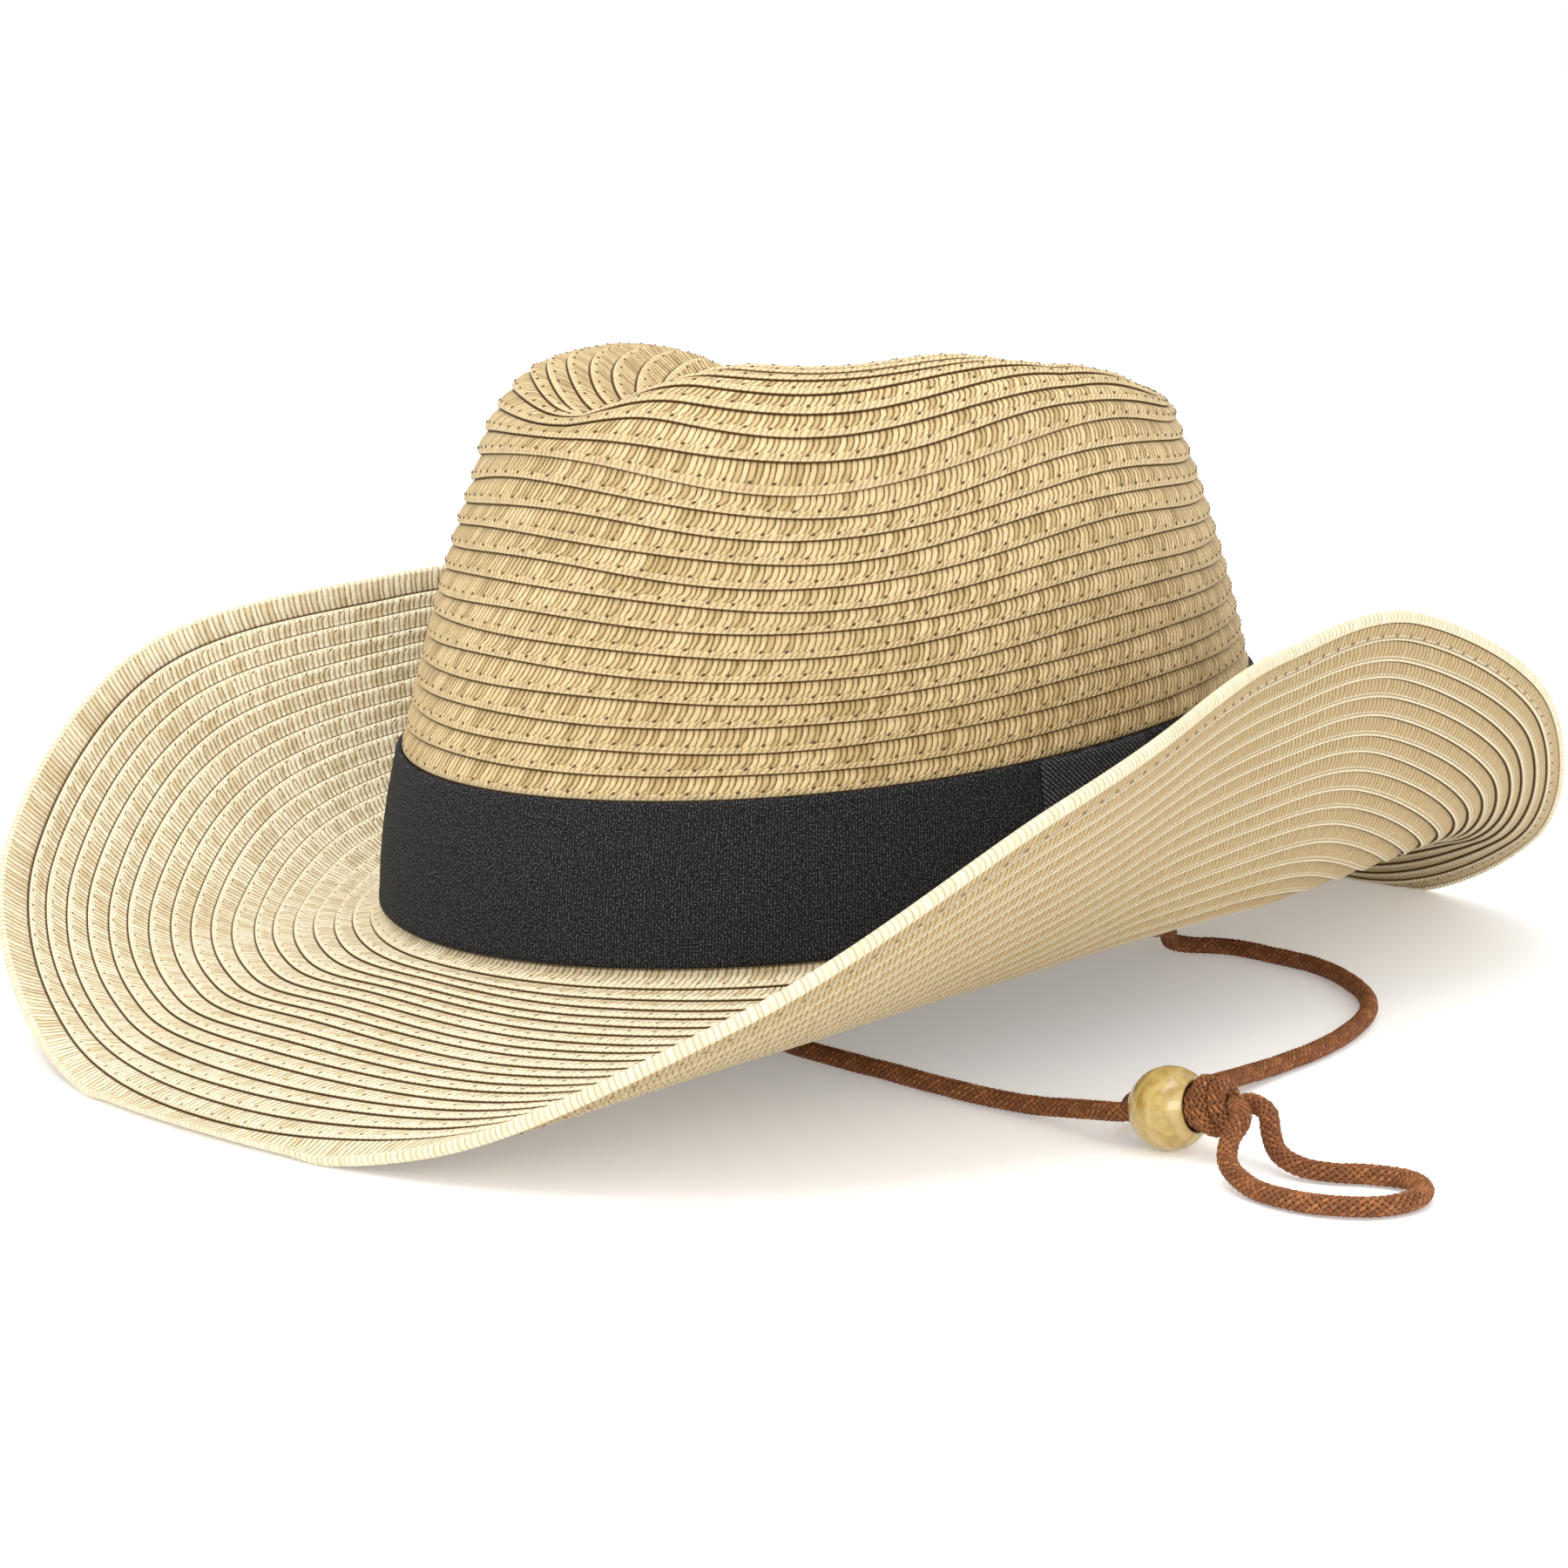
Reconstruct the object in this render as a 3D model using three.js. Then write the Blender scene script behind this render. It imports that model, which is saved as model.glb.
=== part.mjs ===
// Straw cowboy hat with a lengthwise crease, side-curled brim, dark ribbon band and a braided chin
// cord with a bead. Millimetres, +Z up. The wearer's face looks along -Y and the wearer's left is +X.
// The origin is on the surface that the hat stands on, under the middle of its length.
import * as THREE from "three";

// Head oval, at the outside of the crown where it meets the brim
const ovalHalfLength = 104;
const ovalHalfWidth = 85;
const strawThickness = 2.0;
const touchGap = 0.3;

// Heights of the crown above the standing surface, at the middle of its length
const breakHeight = 30;
const bandHeight = 36;
const wallHeight = 57.4;
const domeRise = 30;

// How far the front lies below the middle at each height, and the back above it
const breakTilt = 7.2;
const shoulderTilt = 2.8;
const domeTilt = 15.7;

// How far each of these lines waves up and down besides, around the hat
const breakWave = 0.5;
const shoulderWave = 3;
const domeWave = -5.6;

// Outlines of the crown, as half lengths and half widths
const bandTopHalfLength = 99.5;
const bandTopHalfWidth = 81.5;
const shoulderFrontLength = 79.4;
const shoulderBackLength = 76.5;
const shoulderHalfWidth = 70.3;
const wallSwell = 2.5;

// Share of the band's inward lean that is even; the rest grows towards the band's upper edge
const evenLean = 0.3;

// How the rows crowd together where the crown turns over its shoulder: 1 is evenly spaced
const shoulderCrowding = 1.41;

// Section of the dome: a round one has a fullness of 2 and a power of a half
const domeFullness = 2.24;
const domePower = 0.615;

// Lengthwise crease in the top of the crown. Its plan is a soft diamond: a corner of 2 makes it an oval
const creaseDepth = 30.8;
const creaseHalfWidth = 76;
const creaseHalfLength = 84.5;
const creaseCentre = 2.8;
const creaseCorner = 1.35;
const creasePower = 1.4;
const creaseOnset = 1 / 3;

// Pinch that lowers the front end of the crease; its middle lies a little to the wearer's right
const pinchDepth = 11;
const pinchHalfWidth = 33.6;
const pinchShift = -8;
const pinchStart = 5;
const pinchRun = 30;

// How much higher the left ridge is than the right one, at this distance out from the crease
const ridgeReach = 49;
const ridgeLean = 2.07;
const ridgeTwist = 2.03;

// Share of the way out from the middle of the crown within which its front and back even out
const evenShare = 0.55;

// Brim
const brimReach = 85;
const curlHeight = 91;
const sagDepth = 18;
const restFlat = 3.5;
const collarHeight = 6;
const filletHeight = 2.5;
const filletRadius = 6;
const filletSlope = 0.35;

// Ribbon band and its flat lapped end
const ribbonThickness = 1.0;
const ribbonLift = 3;
const lapWidth = 30;
const lapAngle = 85;

// Chin cord, bead and knot
const cordDiameter = 4;
const beadDiameter = 16.2;
const beadBore = 9.4;
const knotDiameter = 10.8;
const knotLength = 8;
const strandSpacing = 4.3;

// Facets
const columns = 64;
const cordSides = 8;

// The brim around the oval, from the front (0 degrees) to the back (180 degrees), both sides alike.
// reach: distance from the oval to the rim, as a share of brimReach. rise: height of the rim, as a
// share of curlHeight. belly: how far out the brim starts to turn up, as a share of the reach.
// sag: how far the belly hangs below the break, as a share of sagDepth.
const brimTable = [
  { angle: 0, reach: 0.83, rise: 0, belly: 0.74, sag: 0.1 },
  { angle: 20, reach: 0.89, rise: 0.09, belly: 0.84, sag: 0.76 },
  { angle: 40, reach: 0.98, rise: 0.42, belly: 0.51, sag: 0.67 },
  { angle: 60, reach: 0.855, rise: 0.8, belly: 0.38, sag: 0.54 },
  { angle: 80, reach: 0.495, rise: 0.93, belly: 0.39, sag: 0.55 },
  { angle: 100, reach: 0.31, rise: 0.965, belly: 0.6, sag: 0.78 },
  { angle: 120, reach: 0.425, rise: 1, belly: 0.42, sag: 1.3 },
  { angle: 140, reach: 0.72, rise: 0.745, belly: 0.62, sag: 1.1 },
  { angle: 160, reach: 0.95, rise: 0.265, belly: 0.6, sag: 0.8 },
  { angle: 180, reach: 1, rise: 0, belly: 0.52, sag: 0.6 },
];

// Rows of the crown: below 0 behind the band, 0 to 1 up the wall, 1 to 2 over the top to the middle
const bandRows = [-1, -0.66, -0.33];
const wallRows = [0, 0.25, 0.5, 0.75, 0.92];
const topRows = [1, 1.05, 1.12, 1.2, 1.3, 1.42, 1.55, 1.7, 1.85];

// Places along the brim's section, from the foot of the fillet to the rim
const brimPlaces = [0, 0.05, 0.12, 0.22, 0.34, 0.47, 0.6, 0.73, 0.85, 0.95, 1];

const mix = (a, b, share) => a + (b - a) * share;
const clamp01 = (value) => Math.min(1, Math.max(0, value));
const radians = THREE.MathUtils.degToRad;

// Middle of the oval: the rim's front and back are equally far from the origin
const frontReach = brimReach * brimTable[0].reach;
const backReach = brimReach * brimTable[brimTable.length - 1].reach;
const ovalCentre = (frontReach - backReach) / 2;

// Radius of an oval with its own front and back half lengths, at an angle from the front
function ovalRadius(angle, frontLength, backLength, halfWidth) {
  const along = Math.cos(angle) / (Math.cos(angle) > 0 ? frontLength : backLength);
  const across = Math.sin(angle) / halfWidth;
  return 1 / Math.hypot(along, across);
}

// Point at a radius and height, seen from the middle of the oval
function polar(angle, radius, height) {
  return new THREE.Vector3(
    radius * Math.sin(angle), ovalCentre - radius * Math.cos(angle), height);
}

function breakLine(angle) {
  return breakHeight - breakTilt * Math.cos(angle) - breakWave * Math.cos(2 * angle);
}

function bandTopLine(angle) {
  return breakLine(angle) + bandHeight;
}

function shoulderLine(angle) {
  return breakHeight + bandHeight + wallHeight
    - shoulderTilt * Math.cos(angle) + shoulderWave * Math.cos(4 * angle);
}

// Outer surface of the crown
function crownPoint(angle, row) {
  if (row < 0) {
    const share = row + 1;
    const curve = mix(share * share, share, evenLean);
    const length = mix(ovalHalfLength, bandTopHalfLength, curve);
    const width = mix(ovalHalfWidth, bandTopHalfWidth, curve);
    const foot = breakLine(angle) + collarHeight + touchGap;
    return polar(angle, ovalRadius(angle, length, length, width), mix(foot, bandTopLine(angle), share));
  }
  const up = clamp01(row);
  const over = clamp01(row - 1);
  const radius = ovalRadius(
    angle,
    mix(bandTopHalfLength, shoulderFrontLength, up),
    mix(bandTopHalfLength, shoulderBackLength, up),
    mix(bandTopHalfWidth, shoulderHalfWidth, up) + wallSwell * 4 * up * (1 - up));
  const inward = 1 - over ** shoulderCrowding;
  const bulge = Math.max(0, 1 - inward ** domeFullness) ** domePower;
  const dome = domeRise + domeTilt * Math.cos(angle) + domeWave * Math.cos(2 * angle);
  const level = mix(bandTopLine(angle), shoulderLine(angle), up) + dome * bulge;
  const evenLevel = breakHeight + bandHeight + wallHeight + domeRise * bulge;
  const share = THREE.MathUtils.smoothstep(inward, 0, evenShare);
  const point = polar(angle, radius * inward, mix(evenLevel, level, share));
  const along = point.y - ovalCentre;
  const outward = Math.hypot(
    (Math.abs(point.x) / creaseHalfWidth) ** (creaseCorner / 2),
    (Math.abs(along - creaseCentre) / creaseHalfLength) ** (creaseCorner / 2)) ** (2 / creaseCorner);
  const crease = creaseDepth * Math.cos(clamp01(outward) * Math.PI / 2) ** creasePower;
  const aside = clamp01(Math.abs(point.x - pinchShift) / pinchHalfWidth);
  const pinch = pinchDepth * Math.cos(aside * Math.PI / 2) ** 2 * clamp01((-along - pinchStart) / pinchRun);
  point.z -= (crease + pinch) * clamp01(over / creaseOnset);
  const lean = ridgeLean + ridgeTwist * along / ridgeReach;
  point.z += lean * up * point.x / ridgeReach;
  return point;
}

// Value of one column of the brim table at an angle, as a smooth curve through its rows
function alongBrim(column, angle) {
  const last = brimTable.length - 1;
  const turn = THREE.MathUtils.radToDeg(Math.abs(Math.atan2(Math.sin(angle), Math.cos(angle))));
  const after = brimTable.findIndex((row) => row.angle > turn);
  const first = after < 0 ? last - 1 : after - 1;
  const value = (index) => {
    const mirrored = index < 0 ? -index : index > last ? 2 * last - index : index;
    return brimTable[mirrored][column];
  };
  const span = brimTable[first + 1].angle - brimTable[first].angle;
  const t = (turn - brimTable[first].angle) / span;
  const [a, b, c, d] = [value(first - 1), value(first), value(first + 1), value(first + 2)];
  return b + 0.5 * t * (c - a + t * (2 * a - 5 * b + 4 * c - d + t * (3 * (b - c) + d - a)));
}

// Upper surface of the brim, at a share of its section from the fillet's foot to the rim
function brimPoint(angle, place) {
  const start = ovalRadius(angle, ovalHalfLength, ovalHalfLength, ovalHalfWidth);
  const reach = brimReach * alongBrim("reach", angle);
  const base = breakLine(angle);
  const rim = curlHeight * alongBrim("rise", angle) - restFlat + strawThickness;
  const turnRadius = start + reach * alongBrim("belly", angle);
  const turnHeight = base - sagDepth * alongBrim("sag", angle);
  const near = (1 - place) ** 2;
  const middle = 2 * place * (1 - place);
  const far = place ** 2;
  const radius = near * start + middle * turnRadius + far * (start + reach);
  const fillet = filletHeight * clamp01(1 - (radius - start) / filletRadius) ** 2;
  return polar(angle, radius, near * base + middle * turnHeight + far * rim + fillet);
}

// A shell around the middle of the hat. outer[row][column] is one surface, inner is the other, and a
// pole closes the last row, or else a wall joins the two surfaces there.
function shellMesh(outer, inner, poles) {
  const rows = outer.length;
  const around = outer[0].length;
  const points = [...outer.flat(), ...inner.flat(), ...(poles ?? [])];
  const outerIndex = (row, column) => row * around + column % around;
  const innerIndex = (row, column) => rows * around + outerIndex(row, column);
  const faces = [];
  const quad = (a, b, c, d) => faces.push(a, b, c, a, c, d);
  for (let column = 0; column < around; column++) {
    for (let row = 0; row < rows - 1; row++) {
      quad(outerIndex(row, column), outerIndex(row, column + 1),
        outerIndex(row + 1, column + 1), outerIndex(row + 1, column));
      quad(innerIndex(row, column), innerIndex(row + 1, column),
        innerIndex(row + 1, column + 1), innerIndex(row, column + 1));
    }
    quad(innerIndex(0, column), innerIndex(0, column + 1), outerIndex(0, column + 1), outerIndex(0, column));
    const last = rows - 1;
    if (poles) {
      const top = 2 * rows * around;
      faces.push(outerIndex(last, column), outerIndex(last, column + 1), top);
      faces.push(innerIndex(last, column + 1), innerIndex(last, column), top + 1);
    } else {
      quad(outerIndex(last, column), outerIndex(last, column + 1),
        innerIndex(last, column + 1), innerIndex(last, column));
    }
  }
  return geometryFrom(points, faces);
}

function geometryFrom(points, faces) {
  const geometry = new THREE.BufferGeometry();
  geometry.setAttribute("position", new THREE.Float32BufferAttribute(points.flatMap((p) => p.toArray()), 3));
  geometry.setIndex(faces);
  geometry.computeVertexNormals();
  return geometry;
}

// Outward direction of a surface given by a function of angle and row
function normalAt(surface, angle, row) {
  const step = 0.01;
  const aroundStep = surface(angle + step, row).sub(surface(angle - step, row));
  const upStep = surface(angle, row + step).sub(surface(angle, row - step));
  return aroundStep.cross(upStep).normalize();
}

const angles = Array.from({ length: columns }, (_, index) => 2 * Math.PI * index / columns);

// Rows and places where a surface's direction is taken, just short of the edges where it ends
const footRow = -0.9;
const ribbonTopRow = -0.004;
const rimPlace = 0.98;

function offsetFrom(surface, angle, row, distance) {
  return surface(angle, row).addScaledVector(normalAt(surface, angle, row), distance);
}

function horizontalOffset(surface, angle, row, distance) {
  const point = surface(angle, row);
  const outward = normalAt(surface, angle, row).setZ(0).normalize();
  return point.addScaledVector(outward, distance);
}

function crownGeometry() {
  const rows = [...bandRows, ...wallRows, ...topRows];
  const outer = rows.map((row) => angles.map((angle) => crownPoint(angle, row)));
  const inner = rows.map((row) => angles.map((angle) => {
    const offset = row <= 0 ? horizontalOffset : offsetFrom;
    return offset(crownPoint, angle, row, -strawThickness);
  }));
  const middle = crownPoint(0, 2);
  const poles = [middle, middle.clone().setZ(middle.z - strawThickness)];
  return shellMesh(outer, inner, poles);
}

function brimGeometry() {
  const collar = (angle) => brimPoint(angle, 0).setZ(breakLine(angle) + collarHeight);
  const lift = (point, least) => point.setZ(Math.max(point.z, least));
  const upper = brimPlaces.map((place) => angles.map((angle) => lift(brimPoint(angle, place), strawThickness)));
  const lower = brimPlaces.map((place) => angles.map((angle) => {
    const point = place === 0
      ? horizontalOffset(crownPoint, angle, -1, 0).setZ(brimPoint(angle, 0).z)
      : brimPoint(angle, place);
    const direction = place === 0
      ? normalAt(crownPoint, angle, footRow).setZ(filletSlope).normalize()
      : normalAt(brimPoint, angle, Math.min(place, rimPlace)).negate();
    return lift(point.addScaledVector(direction, -strawThickness), 0);
  }));
  const collarOuter = angles.map(collar);
  const collarInner = angles.map((angle) => {
    const outward = normalAt(crownPoint, angle, footRow).setZ(0).normalize();
    return collar(angle).addScaledVector(outward, -strawThickness);
  });
  return shellMesh([...upper].reverse().concat([collarOuter]), [...lower].reverse().concat([collarInner]));
}

// Ribbon lying on the crown from its lower to its upper edge, between two distances off the crown
function ribbonGeometry(nearDistance, farDistance, ribbonAngles) {
  const levels = [ribbonShare(ribbonLift - collarHeight), ...bandRows.slice(1), ribbonTopRow];
  const face = (distance) => levels.map((row) => ribbonAngles.map(
    (angle) => ribbonPoint(angle, row, distance)));
  return [face(farDistance), face(nearDistance)];
}

// Row of the crown at a height above its foot
function ribbonShare(height) {
  return -1 + height / (bandHeight - collarHeight);
}

function ribbonPoint(angle, row, distance) {
  const held = Math.max(row, -1);
  const point = horizontalOffset(crownPoint, angle, held, distance);
  point.z += (row - held) * (bandHeight - collarHeight);
  return point;
}

function bandGeometry() {
  const [outer, inner] = ribbonGeometry(touchGap, touchGap + ribbonThickness, angles);
  return shellMesh(outer, inner);
}

// The lapped end of the ribbon: a flat piece of the same ribbon over the band
function lapGeometry() {
  const column = angles[1] - angles[0];
  const middle = radians(lapAngle);
  const halfTurn = lapWidth / 2 / ovalRadius(middle, ovalHalfLength, ovalHalfLength, ovalHalfWidth);
  const steps = Math.max(4, Math.ceil(2 * halfTurn / column) * 2);
  const lapAngles = Array.from({ length: steps + 1 }, (_, index) => middle + halfTurn * (2 * index / steps - 1));
  const start = 2 * touchGap + ribbonThickness;
  const [outer, inner] = ribbonGeometry(start, start + ribbonThickness, lapAngles);
  return patchGeometry(outer, inner);
}

// A closed patch between two grids of points
function patchGeometry(outer, inner) {
  const rows = outer.length;
  const across = outer[0].length;
  const points = [...outer.flat(), ...inner.flat()];
  const at = (side, row, column) => side * rows * across + row * across + column;
  const faces = [];
  const quad = (a, b, c, d) => faces.push(a, b, c, a, c, d);
  for (let row = 0; row < rows - 1; row++) {
    for (let column = 0; column < across - 1; column++) {
      quad(at(0, row, column), at(0, row, column + 1), at(0, row + 1, column + 1), at(0, row + 1, column));
      quad(at(1, row, column), at(1, row + 1, column), at(1, row + 1, column + 1), at(1, row, column + 1));
    }
    quad(at(1, row, 0), at(0, row, 0), at(0, row + 1, 0), at(1, row + 1, 0));
    quad(at(0, row, across - 1), at(1, row, across - 1), at(1, row + 1, across - 1), at(0, row + 1, across - 1));
  }
  for (let column = 0; column < across - 1; column++) {
    quad(at(1, 0, column), at(1, 0, column + 1), at(0, 0, column + 1), at(0, 0, column));
    quad(at(0, rows - 1, column), at(0, rows - 1, column + 1),
      at(1, rows - 1, column + 1), at(1, rows - 1, column));
  }
  return geometryFrom(points, faces);
}

// Places on the cord: the bead lies on the surface, and the strands run through its bore to the knot
const beadCentre = new THREE.Vector3(139.1, -54.6, beadDiameter / 2);
const boreDirection = new THREE.Vector3(0.973, 0.138, 0.187).normalize();
const boreSide = new THREE.Vector3(0, 0, 1).cross(boreDirection).normalize();
const beadHalfLength = Math.sqrt((beadDiameter / 2) ** 2 - (beadBore / 2) ** 2);
const knotCentre = beadCentre.clone().addScaledVector(
  boreDirection, beadHalfLength + touchGap + knotLength / 2);

function boreStation(distance, side) {
  return beadCentre.clone()
    .addScaledVector(boreDirection, distance)
    .addScaledVector(boreSide, side * strandSpacing / 2);
}

// Where each strand is sewn to the inside of the crown, beside an ear, and the way it leaves the wall
function anchor(side, distance) {
  const wall = ovalHalfWidth - strawThickness - 2 * touchGap;
  const height = breakHeight + collarHeight + cordDiameter;
  return new THREE.Vector3(side * (wall - distance), ovalCentre, height);
}

// A place on a strand before (negative) or after the knot, at a distance from the knot's nearer face
function knotStation(distance, side) {
  const face = beadHalfLength + touchGap + knotLength / 2 + Math.sign(distance) * knotLength / 2;
  return boreStation(face + distance, side);
}

// Routes of the cord, chosen by hand from where it lies
const rightRoute = [
  anchor(-1, 0),
  anchor(-1, 3),
  [-74.8, -8, 36.5],
  [-71, -10, 26.5],
  [-67.5, -13.5, 14],
  [-60, -19.5, 4.8],
  [-47, -27, 2.5],
  [-30, -36, 2.2],
  [-10, -44, 2.2],
  [12, -50, 2.2],
  [31, -52.5, 2.2],
  [48, -54.2, 2.2],
  [66, -55, 2.2],
  [84, -56, 2.2],
  [102, -55.5, 2.4],
  [115, -55.6, 3.8],
  [124, -57.4, 5.4],
  boreStation(-beadHalfLength - 3.5, -1),
  boreStation(-beadHalfLength - 1.5, -1),
  boreStation(-beadHalfLength / 2, -1),
  boreStation(beadHalfLength / 2, -1),
  knotStation(-touchGap, -1),
];
const leftRoute = [
  anchor(1, 0),
  anchor(1, 3),
  [75.5, -3, 37.5],
  [68, 12, 28],
  [57, 30, 19],
  [46, 47.5, 13.8],
  [37, 61, 11.4],
  [30.5, 69.5, 7.4],
  [26.6, 75.2, 3.8],
  [27.6, 81, 2.3],
  [34, 85.6, 2.2],
  [47.4, 86, 2.2],
  [62, 84.2, 2.2],
  [76.6, 77, 2.2],
  [90, 66.5, 2.2],
  [99.5, 54.4, 2.2],
  [107.7, 37.3, 2.2],
  [112.5, 22, 2.2],
  [115.6, 6, 2.3],
  [119, -9, 3.2],
  [124, -25, 5],
  [125.6, -38, 6],
  [124.4, -47, 6],
  boreStation(-beadHalfLength - 3.5, 1),
  boreStation(-beadHalfLength - 1.5, 1),
  boreStation(-beadHalfLength / 2, 1),
  boreStation(beadHalfLength / 2, 1),
  knotStation(-touchGap, 1),
];
const loopRoute = [
  knotStation(touchGap, -1),
  knotStation(2, -1),
  [159.8, -58.5, 10.2],
  [161.5, -63.8, 7.4],
  [164.8, -67.8, 4.4],
  [172.5, -70.8, 2.4],
  [182.7, -72, 2.2],
  [190, -70, 2.2],
  [196.2, -65, 2.2],
  [198.4, -57, 2.2],
  [195.5, -49.5, 2.2],
  [189, -45.8, 2.2],
  [181.5, -48.2, 2.2],
  [176, -52, 2.2],
  [170.5, -54, 2.6],
  [165.2, -54, 4.2],
  [162, -52.4, 7],
  [159.5, -50.6, 10.2],
  knotStation(2, 1),
  knotStation(touchGap, 1),
];

function cordGeometry(route, steps) {
  const points = route.map((place) => place instanceof THREE.Vector3 ? place : new THREE.Vector3(...place));
  const path = new THREE.CatmullRomCurve3(points, false, "centripetal");
  const section = new THREE.Shape(Array.from({ length: cordSides }, (_, side) => {
    const turn = 2 * Math.PI * (side + 0.5) / cordSides;
    return new THREE.Vector2(Math.cos(turn), Math.sin(turn)).multiplyScalar(cordDiameter / 2);
  }));
  return new THREE.ExtrudeGeometry(section, { steps, bevelEnabled: false, extrudePath: path });
}

// A ball with a bore along its own Y axis
function beadGeometry() {
  const tilt = Math.acos(beadHalfLength / (beadDiameter / 2));
  const arcSteps = 12;
  const profile = [];
  for (let step = 0; step <= arcSteps; step++) {
    const turn = mix(-Math.PI / 2 + tilt, Math.PI / 2 - tilt, step / arcSteps);
    profile.push(new THREE.Vector2(Math.cos(turn), Math.sin(turn)).multiplyScalar(beadDiameter / 2));
  }
  profile.push(profile[0].clone());
  return new THREE.LatheGeometry(profile, 28);
}

function knotGeometry() {
  const radius = knotDiameter / 2;
  const half = knotLength / 2;
  const profile = [[0, -1], [0.8, -1], [0.97, -0.65], [1, 0], [0.97, 0.65], [0.8, 1], [0, 1]];
  return new THREE.LatheGeometry(profile.map(([out, up]) => new THREE.Vector2(out * radius, up * half)), 20);
}

const straw = new THREE.MeshStandardMaterial({ color: 0xd9bd8b, roughness: 0.75, metalness: 0 });
const ribbon = new THREE.MeshStandardMaterial({ color: 0x1d1d1f, roughness: 0.8, metalness: 0 });
const cord = new THREE.MeshStandardMaterial({ color: 0x8a4f2c, roughness: 0.8, metalness: 0 });
const horn = new THREE.MeshStandardMaterial({ color: 0xc3ab57, roughness: 0.3, metalness: 0 });

function named(name, geometry, material) {
  const mesh = new THREE.Mesh(geometry, material);
  mesh.name = name;
  return mesh;
}

function onBore(mesh, place) {
  mesh.position.copy(place);
  mesh.quaternion.setFromUnitVectors(new THREE.Vector3(0, 1, 0), boreDirection);
  return mesh;
}

const hat = new THREE.Group();
hat.add(named("crown", crownGeometry(), straw));
hat.add(named("brim", brimGeometry(), straw));
hat.add(named("hat_band", bandGeometry(), ribbon));
hat.add(named("band_lap", lapGeometry(), ribbon));
hat.add(named("chin_cord_right", cordGeometry(rightRoute, 26), cord));
hat.add(named("chin_cord_left", cordGeometry(leftRoute, 34), cord));
hat.add(named("chin_cord_loop", cordGeometry(loopRoute, 26), cord));
hat.add(onBore(named("bead", beadGeometry(), horn), beadCentre));
hat.add(onBore(named("cord_knot", knotGeometry(), cord), knotCentre));

export default hat;
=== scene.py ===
# %% [markdown]
# # A straw cowboy hat
# The hat is a long flat braid of straw, wound from the tip of the crown outwards and sewn to itself,
# row over row. A dark ribbon goes round the crown, and a round braided cord hangs below with a bead.
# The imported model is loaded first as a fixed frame. Every piece made below lies where its solid lies,
# in metres, with +Z up, the face along -Y and the wearer's left on +X.

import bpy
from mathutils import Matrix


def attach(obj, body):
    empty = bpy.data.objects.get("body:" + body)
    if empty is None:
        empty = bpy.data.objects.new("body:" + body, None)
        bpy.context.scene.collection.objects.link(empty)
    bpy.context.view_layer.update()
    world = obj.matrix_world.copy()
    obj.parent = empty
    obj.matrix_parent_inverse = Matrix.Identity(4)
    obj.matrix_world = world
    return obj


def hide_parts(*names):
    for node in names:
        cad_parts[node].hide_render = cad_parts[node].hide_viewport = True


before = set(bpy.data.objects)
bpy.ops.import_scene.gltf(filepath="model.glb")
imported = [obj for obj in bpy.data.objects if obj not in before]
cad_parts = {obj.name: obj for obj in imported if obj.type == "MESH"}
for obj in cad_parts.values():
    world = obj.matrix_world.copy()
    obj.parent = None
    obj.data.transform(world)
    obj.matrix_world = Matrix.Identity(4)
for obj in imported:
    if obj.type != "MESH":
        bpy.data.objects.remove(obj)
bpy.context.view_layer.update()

import math

import bmesh
import bpy
import numpy as np
from mathutils import Vector

MM = 0.001
print("solids in the frame:", sorted(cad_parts))

# %% [markdown]
# ## The camera
# The picture was taken from the wearer's front left, a little above the brim, with a long lens from
# about a metre away. The place and the lens come from a fit of the crown's rows and the rim.

# %% Camera
LENS, SENSOR_WIDTH, NEAREST = 100.96, 36, 0.05
CAMERA_PLACE = (0.6698, -0.6686, 0.2128)
LOOK = Vector((-0.7084, 0.6841, -0.1736))


def aim(thing, place, direction):
    thing.location = place
    thing.rotation_mode = "QUATERNION"
    thing.rotation_quaternion = direction.to_track_quat("-Z", "Y")
    bpy.context.collection.objects.link(thing)


camera_data = bpy.data.cameras.new("camera")
camera_data.sensor_width = SENSOR_WIDTH
camera_data.lens = LENS
camera_data.clip_start = NEAREST
camera = bpy.data.objects.new("camera", camera_data)
aim(camera, CAMERA_PLACE, LOOK)
bpy.context.scene.camera = camera
print("camera at", tuple(camera.location))

# %% [markdown]
# ## Small helpers for node trees
# Every material and every geometry tree below is built from nodes, and these helpers keep the cells
# short. One adds a node and fills its inputs, where a value can be a number or another node's output.
# Others add a sum, a smooth step or a noise, and the last makes a group with named inputs and outputs.

# %% Node helpers
def add_node(tree, kind, inputs=None, **settings):
    node = tree.nodes.new(kind)
    for name, value in settings.items():
        setattr(node, name, value)
    for key, value in (inputs or {}).items():
        fill(tree, node.inputs[key], value)
    return node


def fill(tree, socket, value):
    if isinstance(value, bpy.types.NodeSocket):
        tree.links.new(value, socket)
    else:
        socket.default_value = value


def math_node(tree, operation, *values):
    return add_node(tree, "ShaderNodeMath", dict(enumerate(values)), operation=operation).outputs[0]


def plus(tree, a, b):
    return math_node(tree, "ADD", a, b)


def minus(tree, a, b):
    return math_node(tree, "SUBTRACT", a, b)


def times(tree, a, b):
    return math_node(tree, "MULTIPLY", a, b)


def divided(tree, a, b):
    return math_node(tree, "DIVIDE", a, b)


print("node helpers ready")


# %% Helpers: smooth steps, noise and groups
def smooth_step(tree, value, low, high, start=0.0, end=1.0):
    node = add_node(tree, "ShaderNodeMapRange", {
        "Value": value, "From Min": low, "From Max": high, "To Min": start, "To Max": end,
    }, interpolation_type="SMOOTHSTEP")
    return node.outputs["Result"]


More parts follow.
